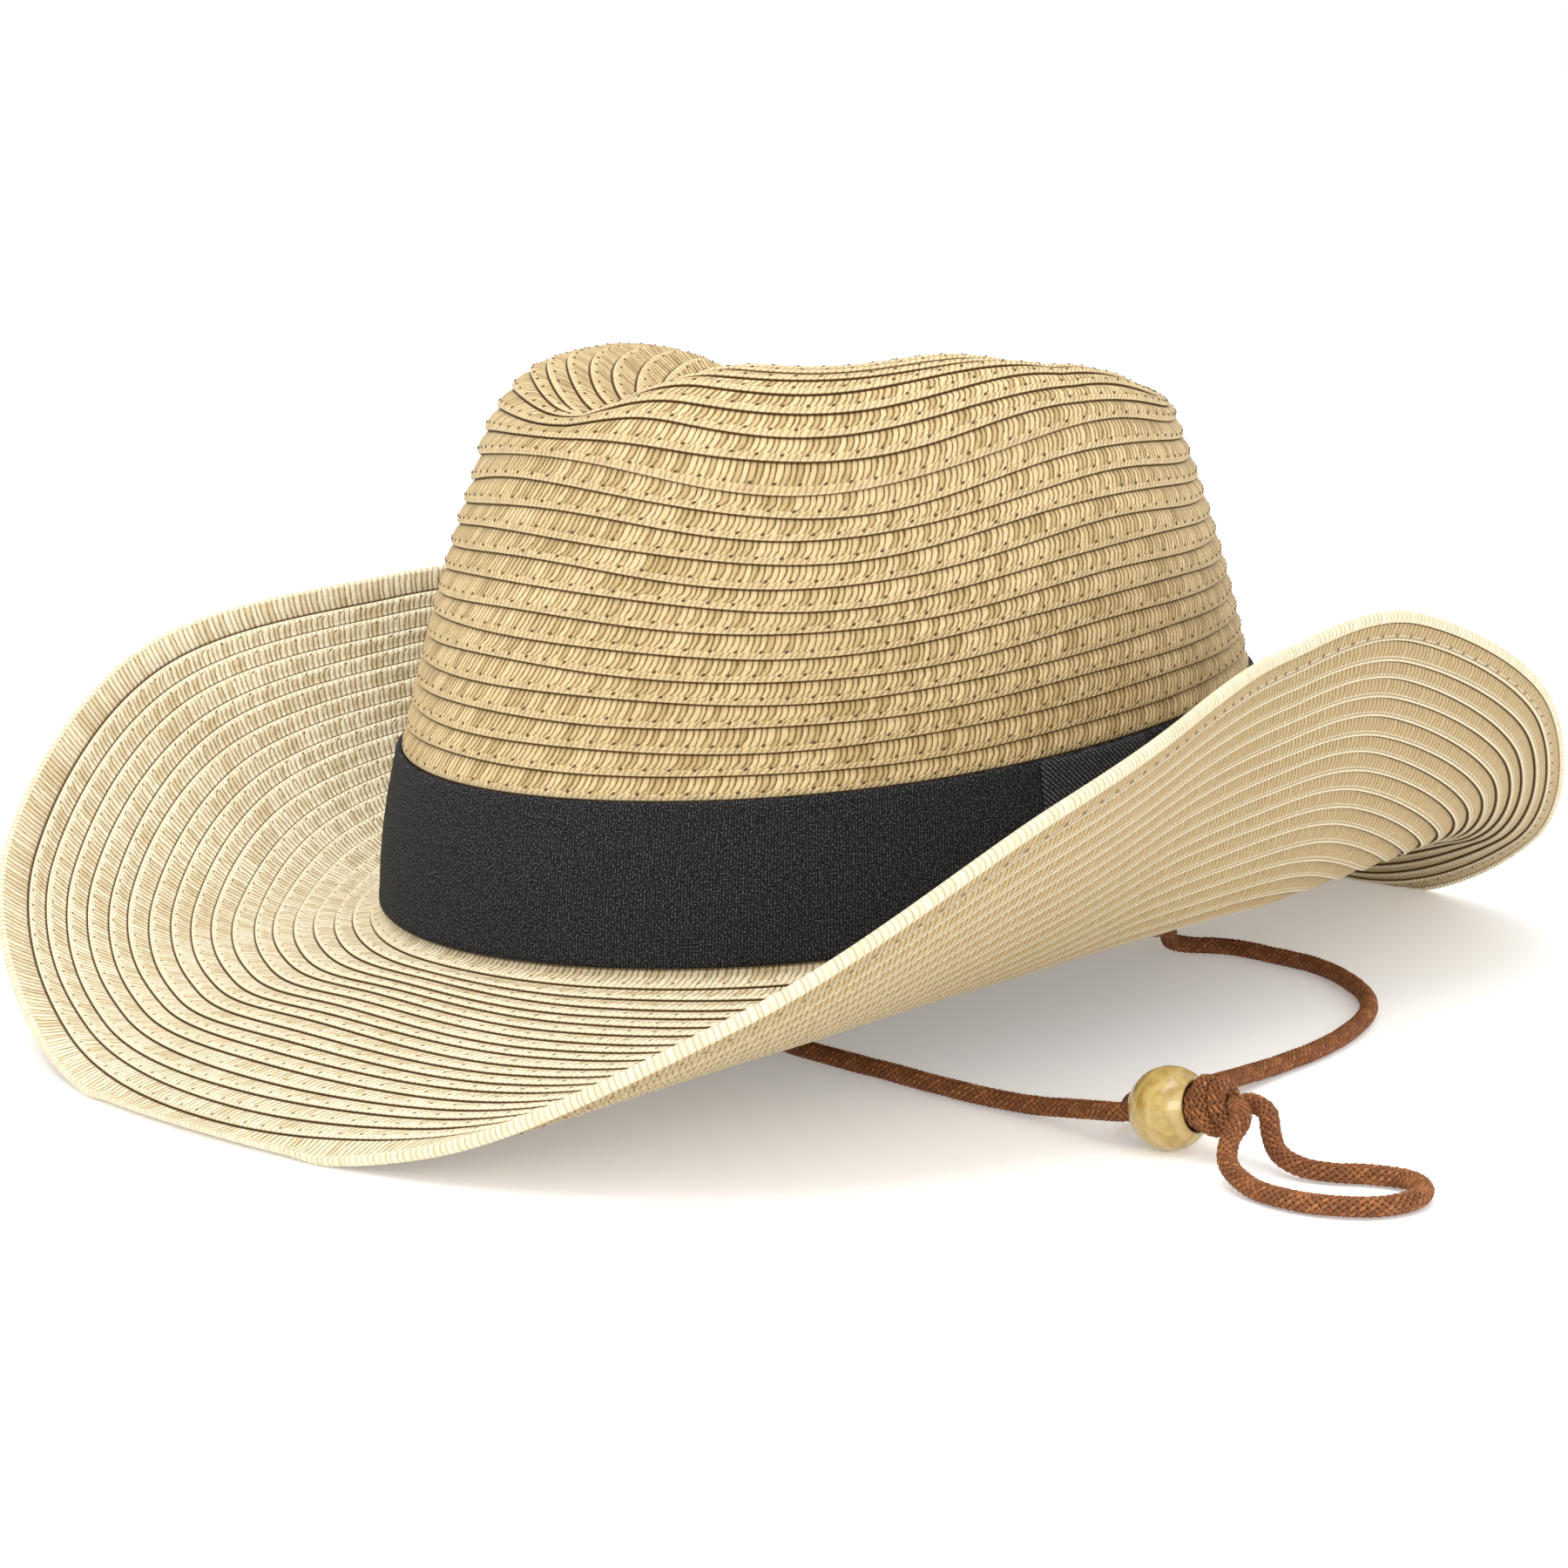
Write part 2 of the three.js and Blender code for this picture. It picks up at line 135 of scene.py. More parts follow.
def vector_of(tree, *parts):
    return add_node(tree, "ShaderNodeCombineXYZ", dict(enumerate(parts))).outputs[0]


def noise(tree, place, scale, detail, flat=False, **more):
    inputs = {"Vector": place, "Scale": scale, "Detail": detail, **more}
    node = add_node(tree, "ShaderNodeTexNoise", inputs, noise_dimensions="2D" if flat else "3D")
    return node.outputs["Fac"]


def new_group(name, kind, inputs, outputs):
    tree = bpy.data.node_groups.new(name, kind)
    for socket_name, socket_type, default in inputs:
        socket = tree.interface.new_socket(socket_name, in_out="INPUT", socket_type=socket_type)
        if default is not None:
            socket.default_value = default
    for socket_name, socket_type in outputs:
        tree.interface.new_socket(socket_name, in_out="OUTPUT", socket_type=socket_type)
    return tree, tree.nodes.new("NodeGroupInput").outputs, tree.nodes.new("NodeGroupOutput").inputs


FLOAT, VECTOR, GEOMETRY = "NodeSocketFloat", "NodeSocketVector", "NodeSocketGeometry"
MATERIAL = "NodeSocketMaterial"
print("step, noise and group helpers ready")

# %% [markdown]
# ## The chin cord's route
# One limp cord, 4 mm thick, is sewn inside the crown beside each ear. Both strands lie on the table,
# go through the bead and end in the knot, and a loop goes on beyond it. The points are the same as the
# solids' points, here in millimetres, and a smooth curve is drawn through them.

# %% Cord sizes and places
CORD_DIAMETER = 4
BEAD_DIAMETER, BEAD_BORE = 16.2, 9.4
KNOT_LENGTH = 8
STRAND_SPACING = 4.3
TOUCH_GAP = 0.3
STRAW_THICKNESS = 2.0
OVAL_HALF_LENGTH, OVAL_HALF_WIDTH = 104, 85
BREAK_HEIGHT, COLLAR_HEIGHT = 30, 6
OVAL_CENTRE = -7.225

BEAD_CENTRE = np.array([139.1, -54.6, BEAD_DIAMETER / 2])
BORE = np.array([0.973, 0.138, 0.187])
BORE = BORE / np.linalg.norm(BORE)
BORE_SIDE = np.cross([0, 0, 1], BORE)
BORE_SIDE = BORE_SIDE / np.linalg.norm(BORE_SIDE)
BEAD_HALF = math.sqrt((BEAD_DIAMETER / 2) ** 2 - (BEAD_BORE / 2) ** 2)
KNOT_CENTRE = BEAD_CENTRE + (BEAD_HALF + TOUCH_GAP + KNOT_LENGTH / 2) * BORE


def bore_station(distance, side):
    return BEAD_CENTRE + distance * BORE + side * STRAND_SPACING / 2 * BORE_SIDE


def knot_station(distance, side):
    face = BEAD_HALF + TOUCH_GAP + KNOT_LENGTH / 2 + math.copysign(KNOT_LENGTH / 2, distance)
    return bore_station(face + distance, side)


def sewn_place(side, distance):
    wall = OVAL_HALF_WIDTH - STRAW_THICKNESS - 2 * TOUCH_GAP
    return (side * (wall - distance), OVAL_CENTRE, BREAK_HEIGHT + COLLAR_HEIGHT + CORD_DIAMETER)


print("bead at", BEAD_CENTRE, "knot at", KNOT_CENTRE.round(1))

# %% Route points
RIGHT_ROUTE = [
    sewn_place(-1, 0), sewn_place(-1, 3), (-74.8, -8, 36.5), (-71, -10, 26.5), (-67.5, -13.5, 14),
    (-60, -19.5, 4.8), (-47, -27, 2.5), (-30, -36, 2.2), (-10, -44, 2.2), (12, -50, 2.2),
    (31, -52.5, 2.2), (48, -54.2, 2.2), (66, -55, 2.2), (84, -56, 2.2), (102, -55.5, 2.4),
    (115, -55.6, 3.8), (124, -57.4, 5.4), bore_station(-BEAD_HALF - 3.5, -1),
    bore_station(-BEAD_HALF - 1.5, -1), bore_station(-BEAD_HALF / 2, -1),
    bore_station(BEAD_HALF / 2, -1), knot_station(-TOUCH_GAP, -1),
]
LEFT_ROUTE = [
    sewn_place(1, 0), sewn_place(1, 3), (75.5, -3, 37.5), (68, 12, 28), (57, 30, 19), (46, 47.5, 13.8),
    (37, 61, 11.4), (30.5, 69.5, 7.4), (26.6, 75.2, 3.8), (27.6, 81, 2.3), (34, 85.6, 2.2),
    (47.4, 86, 2.2), (62, 84.2, 2.2), (76.6, 77, 2.2), (90, 66.5, 2.2), (99.5, 54.4, 2.2),
    (107.7, 37.3, 2.2), (112.5, 22, 2.2), (115.6, 6, 2.3), (119, -9, 3.2), (124, -25, 5),
    (125.6, -38, 6), (124.4, -47, 6), bore_station(-BEAD_HALF - 3.5, 1),
    bore_station(-BEAD_HALF - 1.5, 1), bore_station(-BEAD_HALF / 2, 1),
    bore_station(BEAD_HALF / 2, 1), knot_station(-TOUCH_GAP, 1),
]
LOOP_ROUTE = [
    knot_station(TOUCH_GAP, -1), knot_station(2, -1), (159.8, -58.5, 10.2), (161.5, -63.8, 7.4),
    (164.8, -67.8, 4.4), (172.5, -70.8, 2.4), (182.7, -72, 2.2), (190, -70, 2.2), (196.2, -65, 2.2),
    (198.4, -57, 2.2), (195.5, -49.5, 2.2), (189, -45.8, 2.2), (181.5, -48.2, 2.2), (176, -52, 2.2),
    (170.5, -54, 2.6), (165.2, -54, 4.2), (162, -52.4, 7), (159.5, -50.6, 10.2), knot_station(2, 1),
    knot_station(TOUCH_GAP, 1),
]


def smooth_route(points, step=0.5):
    """A centripetal Catmull-Rom curve through the points, as points about a step apart."""
    p = np.array([np.asarray(point, float) for point in points])
    p = np.vstack([2 * p[0] - p[1], p, 2 * p[-1] - p[-2]])
    line = []
    for a, b, c, d in zip(p[:-3], p[1:-2], p[2:-1], p[3:]):
        k1 = np.sqrt(np.linalg.norm(b - a))
        k2 = k1 + np.sqrt(np.linalg.norm(c - b))
        k3 = k2 + np.sqrt(np.linalg.norm(d - c))
        count = max(2, int(np.ceil(np.linalg.norm(c - b) / step)))
        t = (k1 + (k2 - k1) * np.arange(count) / count)[:, None]
        ab = ((k1 - t) * a + t * b) / k1
        bc = ((k2 - t) * b + (t - k1) * c) / (k2 - k1)
        cd = ((k3 - t) * c + (t - k2) * d) / (k3 - k2)
        abc = ((k2 - t) * ab + t * bc) / k2
        bcd = ((k3 - t) * bc + (t - k1) * cd) / (k3 - k1)
        line.append(((k2 - t) * abc + (t - k1) * bcd) / (k2 - k1))
    return np.vstack(line + [p[-2:-1]])


def length_of(line):
    return float(np.linalg.norm(np.diff(line, axis=0), axis=-1).sum())


cord_lines = {
    "chin_cord_right": smooth_route(RIGHT_ROUTE),
    "chin_cord_left": smooth_route(LEFT_ROUTE),
    "chin_cord_loop": smooth_route(LOOP_ROUTE),
}
for cord_name, line in cord_lines.items():
    print(cord_name, "is", round(length_of(line), 1), "mm long")

# %% [markdown]
# ## Braided cord
# A sewing-shop cord is a tube braid: half of the yarns run round it one way and half the other way,
# each one over and under those it meets. It could be a smooth tube with a bump, but the small
# scalloped outline would be missing, so Geometry Nodes lay real yarns along the route. The tree copies
# the centre line once for each yarn, turns the copies round it as helices, half of them each way, and
# lets them rise and dip where they cross. A plain core fills the middle.

# %% Helpers for geometry trees
def vector_math(tree, operation, inputs):
    return add_node(tree, "ShaderNodeVectorMath", inputs, operation=operation).outputs[0]


def resampled(tree, curve, step):
    node = add_node(tree, "GeometryNodeResampleCurve", {"Curve": curve, "Length": step}, mode="LENGTH")
    return node.outputs[0]


def swept(tree, curve, radius, sides):
    ring = add_node(tree, "GeometryNodeCurvePrimitiveCircle", {
        "Resolution": sides, "Radius": radius}, mode="RADIUS")
    return add_node(tree, "GeometryNodeCurveToMesh", {
        "Curve": curve, "Profile Curve": ring.outputs[0], "Fill Caps": True}).outputs[0]


def stored(tree, geometry, name, value):
    return add_node(tree, "GeometryNodeStoreNamedAttribute", {
        "Geometry": geometry, "Name": name, "Value": value}, data_type="FLOAT", domain="POINT").outputs[0]


def end_tree(tree, geometry, material, out):
    """What every tree ends with: real copies, smooth shading and the material."""
    real = add_node(tree, "GeometryNodeRealizeInstances", {"Geometry": geometry})
    smooth = add_node(tree, "GeometryNodeSetShadeSmooth", {"Geometry": real.outputs[0]})
    finish = add_node(tree, "GeometryNodeSetMaterial", {
        "Geometry": smooth.outputs[0], "Material": material})
    tree.links.new(finish.outputs[0], out["Mesh"])


print("geometry tree helpers ready")

# %% Geometry tree: braid yarns along a line
CORE_STEP, CORE_SIDES, YARN_SIDES, TONE_SEED = 0.002, 10, 4, 4


def braid_tree():
    tree, given, out = new_group("braided_cord", "GeometryNodeTree", [
        ("Line", GEOMETRY, None),
        ("Yarn Count", "NodeSocketInt", 16),
        ("Lay Length", FLOAT, 0.0125),
        ("Middle Radius", FLOAT, 0.00147),
        ("Crossing Height", FLOAT, 0.00015),
        ("Yarn Radius", FLOAT, 0.00042),
        ("Step", FLOAT, 0.00042),
        ("Yarn Material", MATERIAL, None),
    ], [("Mesh", GEOMETRY)])
    curve = add_node(tree, "GeometryNodeMeshToCurve", {"Mesh": given["Line"]}).outputs[0]
    kept = tree.nodes.new("GeometryNodeCaptureAttribute")
    for kind, name in (("VECTOR", "tangent"), ("VECTOR", "normal"), ("FLOAT", "along")):
        kept.capture_items.new(kind, name)
    tree.links.new(resampled(tree, curve, given["Step"]), kept.inputs["Geometry"])
    for name, kind, output in (("tangent", "GeometryNodeInputTangent", 0),
                               ("normal", "GeometryNodeInputNormal", 0),
                               ("along", "GeometryNodeSplineParameter", "Length")):
        tree.links.new(tree.nodes.new(kind).outputs[output], kept.inputs[name])
    tangent, normal, along = (kept.outputs[name] for name in ("tangent", "normal", "along"))
    copies = add_node(tree, "GeometryNodeDuplicateElements", {
        "Geometry": kept.outputs["Geometry"], "Amount": given["Yarn Count"]}, domain="SPLINE")
    index = copies.outputs["Duplicate Index"]
    # half of the yarns wind one way and half the other
    way = minus(tree, times(tree, math_node(tree, "MODULO", index, 2), 2), 1)
    turns = divided(tree, along, given["Lay Length"])
    pair = math_node(tree, "FLOOR", divided(tree, index, 2))
    place = divided(tree, pair, divided(tree, given["Yarn Count"], 2))
    angle = times(tree, plus(tree, times(tree, way, turns), place), math.tau)
    wave = math_node(tree, "COSINE", times(tree, times(tree, turns, given["Yarn Count"]), math.pi))
    rise = times(tree, wave, way)
    radius = plus(tree, given["Middle Radius"], times(tree, rise, given["Crossing Height"]))
    side = vector_math(tree, "CROSS_PRODUCT", {0: tangent, 1: normal})
    across = vector_math(tree, "SCALE", {
        0: normal, "Scale": times(tree, radius, math_node(tree, "COSINE", angle))})
    up = vector_math(tree, "SCALE", {
        0: side, "Scale": times(tree, radius, math_node(tree, "SINE", angle))})
    moved = add_node(tree, "GeometryNodeSetPosition", {
        "Geometry": copies.outputs[0], "Offset": vector_math(tree, "ADD", {0: across, 1: up})})
    tone = add_node(tree, "FunctionNodeRandomValue", {"ID": index, "Seed": TONE_SEED}, data_type="FLOAT")
    tone = next(s for s in tone.outputs if s.enabled and s.type == "VALUE")
    measured = stored(tree, stored(tree, moved.outputs[0], "tone", tone), "rise", rise)
    both = tree.nodes.new("GeometryNodeJoinGeometry")
    tree.links.new(swept(tree, measured, given["Yarn Radius"], YARN_SIDES), both.inputs[0])
    core_line = resampled(tree, curve, CORE_STEP)
    tree.links.new(swept(tree, core_line, given["Middle Radius"], CORE_SIDES), both.inputs[0])
    end_tree(tree, both.outputs[0], given["Yarn Material"], out)
    return tree


braid = braid_tree()
print("braid tree:", len(braid.nodes), "nodes")

# %% [markdown]
# ## From a tree to a plain mesh
# A finished piece has no live modifier. This helper puts a tree on an object, sets the named inputs by
# their identifiers, evaluates it once and keeps the result as a mesh.

# %% Helpers: objects and baked trees
def new_piece(name, mesh):
    piece = bpy.data.objects.new(name, mesh)
    bpy.context.collection.objects.link(piece)
    return piece


def line_mesh(name, points):
    mesh = bpy.data.meshes.new(name)
    mesh.from_pydata((np.asarray(points) * MM).tolist(), [(i, i + 1) for i in range(len(points) - 1)], [])
    return mesh


def grown(name, mesh, tree, values):
    source = new_piece(name + "_source", mesh)
    modifier = source.modifiers.new("grow", "NODES")
    modifier.node_group = tree
    named = {item.name: item.identifier for item in tree.interface.items_tree if item.in_out == "INPUT"}
    for key, value in values.items():
        modifier[named[key]] = value
    depsgraph = bpy.context.evaluated_depsgraph_get()
    result = bpy.data.meshes.new_from_object(source.evaluated_get(depsgraph))
    source.modifiers.remove(modifier)
    bpy.data.objects.remove(source)
    result.name = name
    result.calc_loop_triangles()
    print(name, len(result.loop_triangles), "triangles")
    return new_piece(name, result)


# %% [markdown]
# ## Helpers for materials
# Each material starts from the Principled shader, with its plain values set on the shader's own
# sockets. Colours are blended by masks that change over the surface, and a bump gives the fine relief.

# %% Material helpers
def principled(name, **sockets):
    material = bpy.data.materials.new(name)
    material.use_nodes = True
    tree = material.node_tree
    shader = tree.nodes["Principled BSDF"]
    for key, value in sockets.items():
        shader.inputs[key.replace("_", " ")].default_value = value
    return material, tree, shader


def blend_colours(tree, share, first, second):
    """Mixes two colours by a share. Each is a socket or a red, green and blue value."""
    node = add_node(tree, "ShaderNodeMix", data_type="RGBA")
    factor = next(s for s in node.inputs if s.type == "VALUE" and s.enabled)
    fill(tree, factor, share)
    colours = [s for s in node.inputs if s.type == "RGBA"]
    for socket, value in zip(colours, (first, second)):
        fill(tree, socket, (*value, 1) if isinstance(value, tuple) else value)
    return next(s for s in node.outputs if s.type == "RGBA")


def bump(tree, shader, height, distance):
    node = add_node(tree, "ShaderNodeBump", {"Height": height, "Distance": distance, "Strength": 1.0})
    tree.links.new(node.outputs[0], shader.inputs["Normal"])


def object_place(tree):
    return add_node(tree, "ShaderNodeTexCoord").outputs["Object"]


print("piece and material helpers ready")

# %% [markdown]
# ## Cord finish
# The cord is rust-brown polyester, matt and a little fuzzy. Each yarn has its own tone, painted shade
# darkens it where it dips under its neighbours, and so the braid's V pattern shows.

# %% Material: braided cord
YARN_DIP_SHADE, YARN_DEEP, YARN_PALE = (0.05, 0.016, 0.007), (0.16, 0.057, 0.019), (0.4, 0.155, 0.054)
YARN_FLUFF, YARN_WORN = (0.42, 0.19, 0.08), (0.16, 0.05, 0.02)

cord_finish, tree, shader = principled("cord_yarn", Roughness=0.72, Specular_IOR_Level=0.25)
tone = add_node(tree, "ShaderNodeAttribute", attribute_name="tone").outputs["Fac"]
rise = add_node(tree, "ShaderNodeAttribute", attribute_name="rise").outputs["Fac"]
where = object_place(tree)
fibre = noise(tree, where, 2600, 3, Roughness=0.7)
patch = noise(tree, where, 55, 2)
over = blend_colours(tree, tone, YARN_DEEP, YARN_PALE)
# painted shade where a yarn dips under its neighbours
yarn = blend_colours(tree, smooth_step(tree, rise, -0.8, 0.5), YARN_DIP_SHADE, over)
fluffy = blend_colours(tree, smooth_step(tree, fibre, 0.45, 0.75, 0.0, 0.3), yarn, YARN_FLUFF)
worn = blend_colours(tree, smooth_step(tree, patch, 0.35, 0.75, 0.0, 0.45), fluffy, YARN_WORN)
tree.links.new(worn, shader.inputs["Base Color"])
bump(tree, shader, fibre, 0.00012)
print("material", cord_finish.name)

# %% Cord pieces
cords = {}
for cord_name, line in cord_lines.items():
    cords[cord_name] = grown(cord_name + "_braid", line_mesh(cord_name, line), braid, {
        "Yarn Material": cord_finish})

# %% [markdown]
# ## The knot
# The two strands are held by a knot in front of the bead. It is small beside the cord, so it shows as
# turns of the same cord pulled tight round both strands. The turns are one helix: it starts beside the
# strands in the mouth of the bore, swings out over the mouth and ends inside, by the loop's strands.

# %% Knot piece
KNOT_TURNS, KNOT_START, KNOT_POINTS = 2.9, -0.7, 200
# at shares of the way along the helix: distance from the bore's axis, and along it from the knot's
# middle
KNOT_TRAVEL = [0, 0.3, 0.42, 0.9, 1]
KNOT_REACH = [2.5, 2.8, 4.5, 3.7, 1.7]
KNOT_LIFT = [-4.7, -3.9, -2.7, 2.2, 2.5]
BORE_UP = np.cross(BORE, BORE_SIDE)
turn = np.linspace(0, math.tau * KNOT_TURNS, KNOT_POINTS)
travel = turn / turn[-1]
reach = np.interp(travel, KNOT_TRAVEL, KNOT_REACH)
lift = np.interp(travel, KNOT_TRAVEL, KNOT_LIFT)
knot_line = (KNOT_CENTRE + lift[:, None] * BORE
             + (reach * np.cos(turn + KNOT_START))[:, None] * BORE_SIDE
             + (reach * np.sin(turn + KNOT_START))[:, None] * BORE_UP)
knot = grown("cord_knot_turns", line_mesh("knot", knot_line), braid, {
    "Yarn Material": cord_finish, "Middle Radius": 0.00135, "Yarn Radius": 0.0004})

# %% [markdown]
# ## The bead
# A turned and polished ball with a wide bore whose mouths are rounded. A lathe profile in a few rings
# gives it: out over the ball, in round the mouth, through the bore and back.

# %% Bead piece
MOUTH_ROUND, OUTSIDE_RINGS, MOUTH_RINGS, BEAD_COLUMNS = 0.45, 30, 9, 72


def bead_profile():
    radius, bore = BEAD_DIAMETER / 2, BEAD_BORE / 2
    mouth = bore + MOUTH_ROUND
    centre_x = math.sqrt((radius - MOUTH_ROUND) ** 2 - mouth ** 2)
    meet = math.atan2(centre_x, mouth)
    outside = [(radius * math.sin(a), radius * math.cos(a))
               for a in np.linspace(-meet, meet, OUTSIDE_RINGS)]
    right = [(centre_x + MOUTH_ROUND * math.cos(b), mouth + MOUTH_ROUND * math.sin(b))
             for b in np.linspace(math.pi / 2 - meet, -math.pi / 2, MOUTH_RINGS)[1:]]
    left = [(-x, y) for x, y in reversed(right)]
    return outside + right + left


def lathe(name, profile, centre, axis, side, count):
    around = np.linspace(0, math.tau, count, endpoint=False)[:, None]
    spoke = np.cos(around) * side + np.sin(around) * np.cross(axis, side)
    points = np.vstack([centre + x * axis + r * spoke for x, r in profile])
    faces = []
    for k in range(len(profile)):
        n = (k + 1) % len(profile)
        for i in range(count):
            j = (i + 1) % count
            faces.append((k * count + i, k * count + j, n * count + j, n * count + i))
    mesh = bpy.data.meshes.new(name)
    mesh.from_pydata((points * MM).tolist(), [], faces)
    mesh.shade_smooth()
    return mesh


def face_outwards(mesh):
    work = bmesh.new()
    work.from_mesh(mesh)
    bmesh.ops.recalc_face_normals(work, faces=work.faces)
    work.to_mesh(mesh)
    work.free()


bead_mesh = lathe("bead_turned", bead_profile(), BEAD_CENTRE, BORE, BORE_SIDE, BEAD_COLUMNS)
face_outwards(bead_mesh)
bead = new_piece("bead_turned", bead_mesh)
print("bead faces:", len(bead_mesh.polygons))

# %% [markdown]
# The bead looks like polished horn or pale wood: olive-yellow, with soft cloudy streaks and a clear
# coat. A Mapping node puts the pattern's middle at the bead's.

# %% Material: polished bead
OLIVE_DEEP, OLIVE_PALE, OLIVE_STREAK = (0.36, 0.22, 0.045), (0.56, 0.41, 0.12), (0.66, 0.54, 0.24)

bead_finish, tree, shader = principled(
    "polished_bead", Roughness=0.28, Coat_Weight=0.8, Coat_Roughness=0.08, Subsurface_Weight=0.12,
    Subsurface_Radius=(0.004, 0.003, 0.001), Subsurface_Scale=0.5)
placed = add_node(tree, "ShaderNodeMapping", {
    "Vector": object_place(tree), "Location": tuple(-BEAD_CENTRE * MM)}, vector_type="POINT").outputs[0]
cloud = noise(tree, placed, 190, 4, Roughness=0.6, Distortion=1.4)
streaks = add_node(tree, "ShaderNodeTexWave", {
    "Vector": placed, "Scale": 70, "Distortion": 6, "Detail": 3, "Detail Scale": 1.2}).outputs["Fac"]
olive = blend_colours(tree, smooth_step(tree, cloud, 0.3, 0.72), OLIVE_DEEP, OLIVE_PALE)
streaked = blend_colours(tree, smooth_step(tree, streaks, 0.5, 1.0, 0.0, 0.35), olive, OLIVE_STREAK)
tree.links.new(streaked, shader.inputs["Base Color"])
tree.links.new(smooth_step(tree, cloud, 0.3, 0.7, 0.22, 0.36), shader.inputs["Roughness"])
bump(tree, shader, cloud, 0.00006)
bead_mesh.materials.append(bead_finish)
print("material", bead_finish.name)

# %% [markdown]
# ## The shape of the crown and brim
# Both follow rules: the crown is an oval that leans in, turns over a shoulder and sinks into a crease,
# and the brim is a smooth section whose reach and rise change round the hat. The same rules made the
# solids, so the straw rows below can be laid exactly on them.

# %% Sizes of crown and brim
BAND_HEIGHT, WALL_HEIGHT, DOME_RISE = 36, 57.4, 30
BREAK_TILT, SHOULDER_TILT, DOME_TILT = 7.2, 2.8, 15.7
BREAK_WAVE, SHOULDER_WAVE, DOME_WAVE = 0.5, 3, -5.6
BAND_TOP_HALF_LENGTH, BAND_TOP_HALF_WIDTH = 99.5, 81.5
SHOULDER_FRONT, SHOULDER_BACK, SHOULDER_HALF_WIDTH = 79.4, 76.5, 70.3
WALL_SWELL, EVEN_LEAN, SHOULDER_CROWDING, EVEN_SHARE = 2.5, 0.3, 1.41, 0.55
DOME_FULLNESS, DOME_POWER = 2.24, 0.615
CREASE_DEPTH, CREASE_HALF_WIDTH, CREASE_HALF_LENGTH, CREASE_CENTRE = 30.8, 76, 84.5, 2.8
CREASE_CORNER, CREASE_POWER, CREASE_ONSET = 1.35, 1.4, 1 / 3
PINCH_DEPTH, PINCH_HALF_WIDTH, PINCH_SHIFT, PINCH_START, PINCH_RUN = 11, 33.6, -8, 5, 30
RIDGE_REACH, RIDGE_LEAN, RIDGE_TWIST = 49, 2.07, 2.03
BRIM_REACH, CURL_HEIGHT, SAG_DEPTH, REST_FLAT = 85, 91, 18, 3.5
FILLET_HEIGHT, FILLET_RADIUS = 2.5, 6
# one value for every 20 degrees from the front to the back
BRIM_TABLE = {
    "reach": [0.83, 0.89, 0.98, 0.855, 0.495, 0.31, 0.425, 0.72, 0.95, 1.0],
    "rise": [0, 0.09, 0.42, 0.8, 0.93, 0.965, 1, 0.745, 0.265, 0],
    "belly": [0.74, 0.84, 0.51, 0.38, 0.39, 0.6, 0.42, 0.62, 0.6, 0.52],
    "sag": [0.1, 0.76, 0.67, 0.54, 0.55, 0.78, 1.3, 1.1, 0.8, 0.6],
}


def mix(a, b, share):
    return a + (b - a) * share


def oval_radius(turn, front, back, half_width):
    along = np.cos(turn) / np.where(np.cos(turn) > 0, front, back)
    return 1 / np.hypot(along, np.sin(turn) / half_width)


def polar(turn, radius, height):
    return np.stack([radius * np.sin(turn), OVAL_CENTRE - radius * np.cos(turn), height + 0 * radius], -1)


def break_line(turn):
    return BREAK_HEIGHT - BREAK_TILT * np.cos(turn) - BREAK_WAVE * np.cos(2 * turn)


print("brim stations:", len(BRIM_TABLE["reach"]))

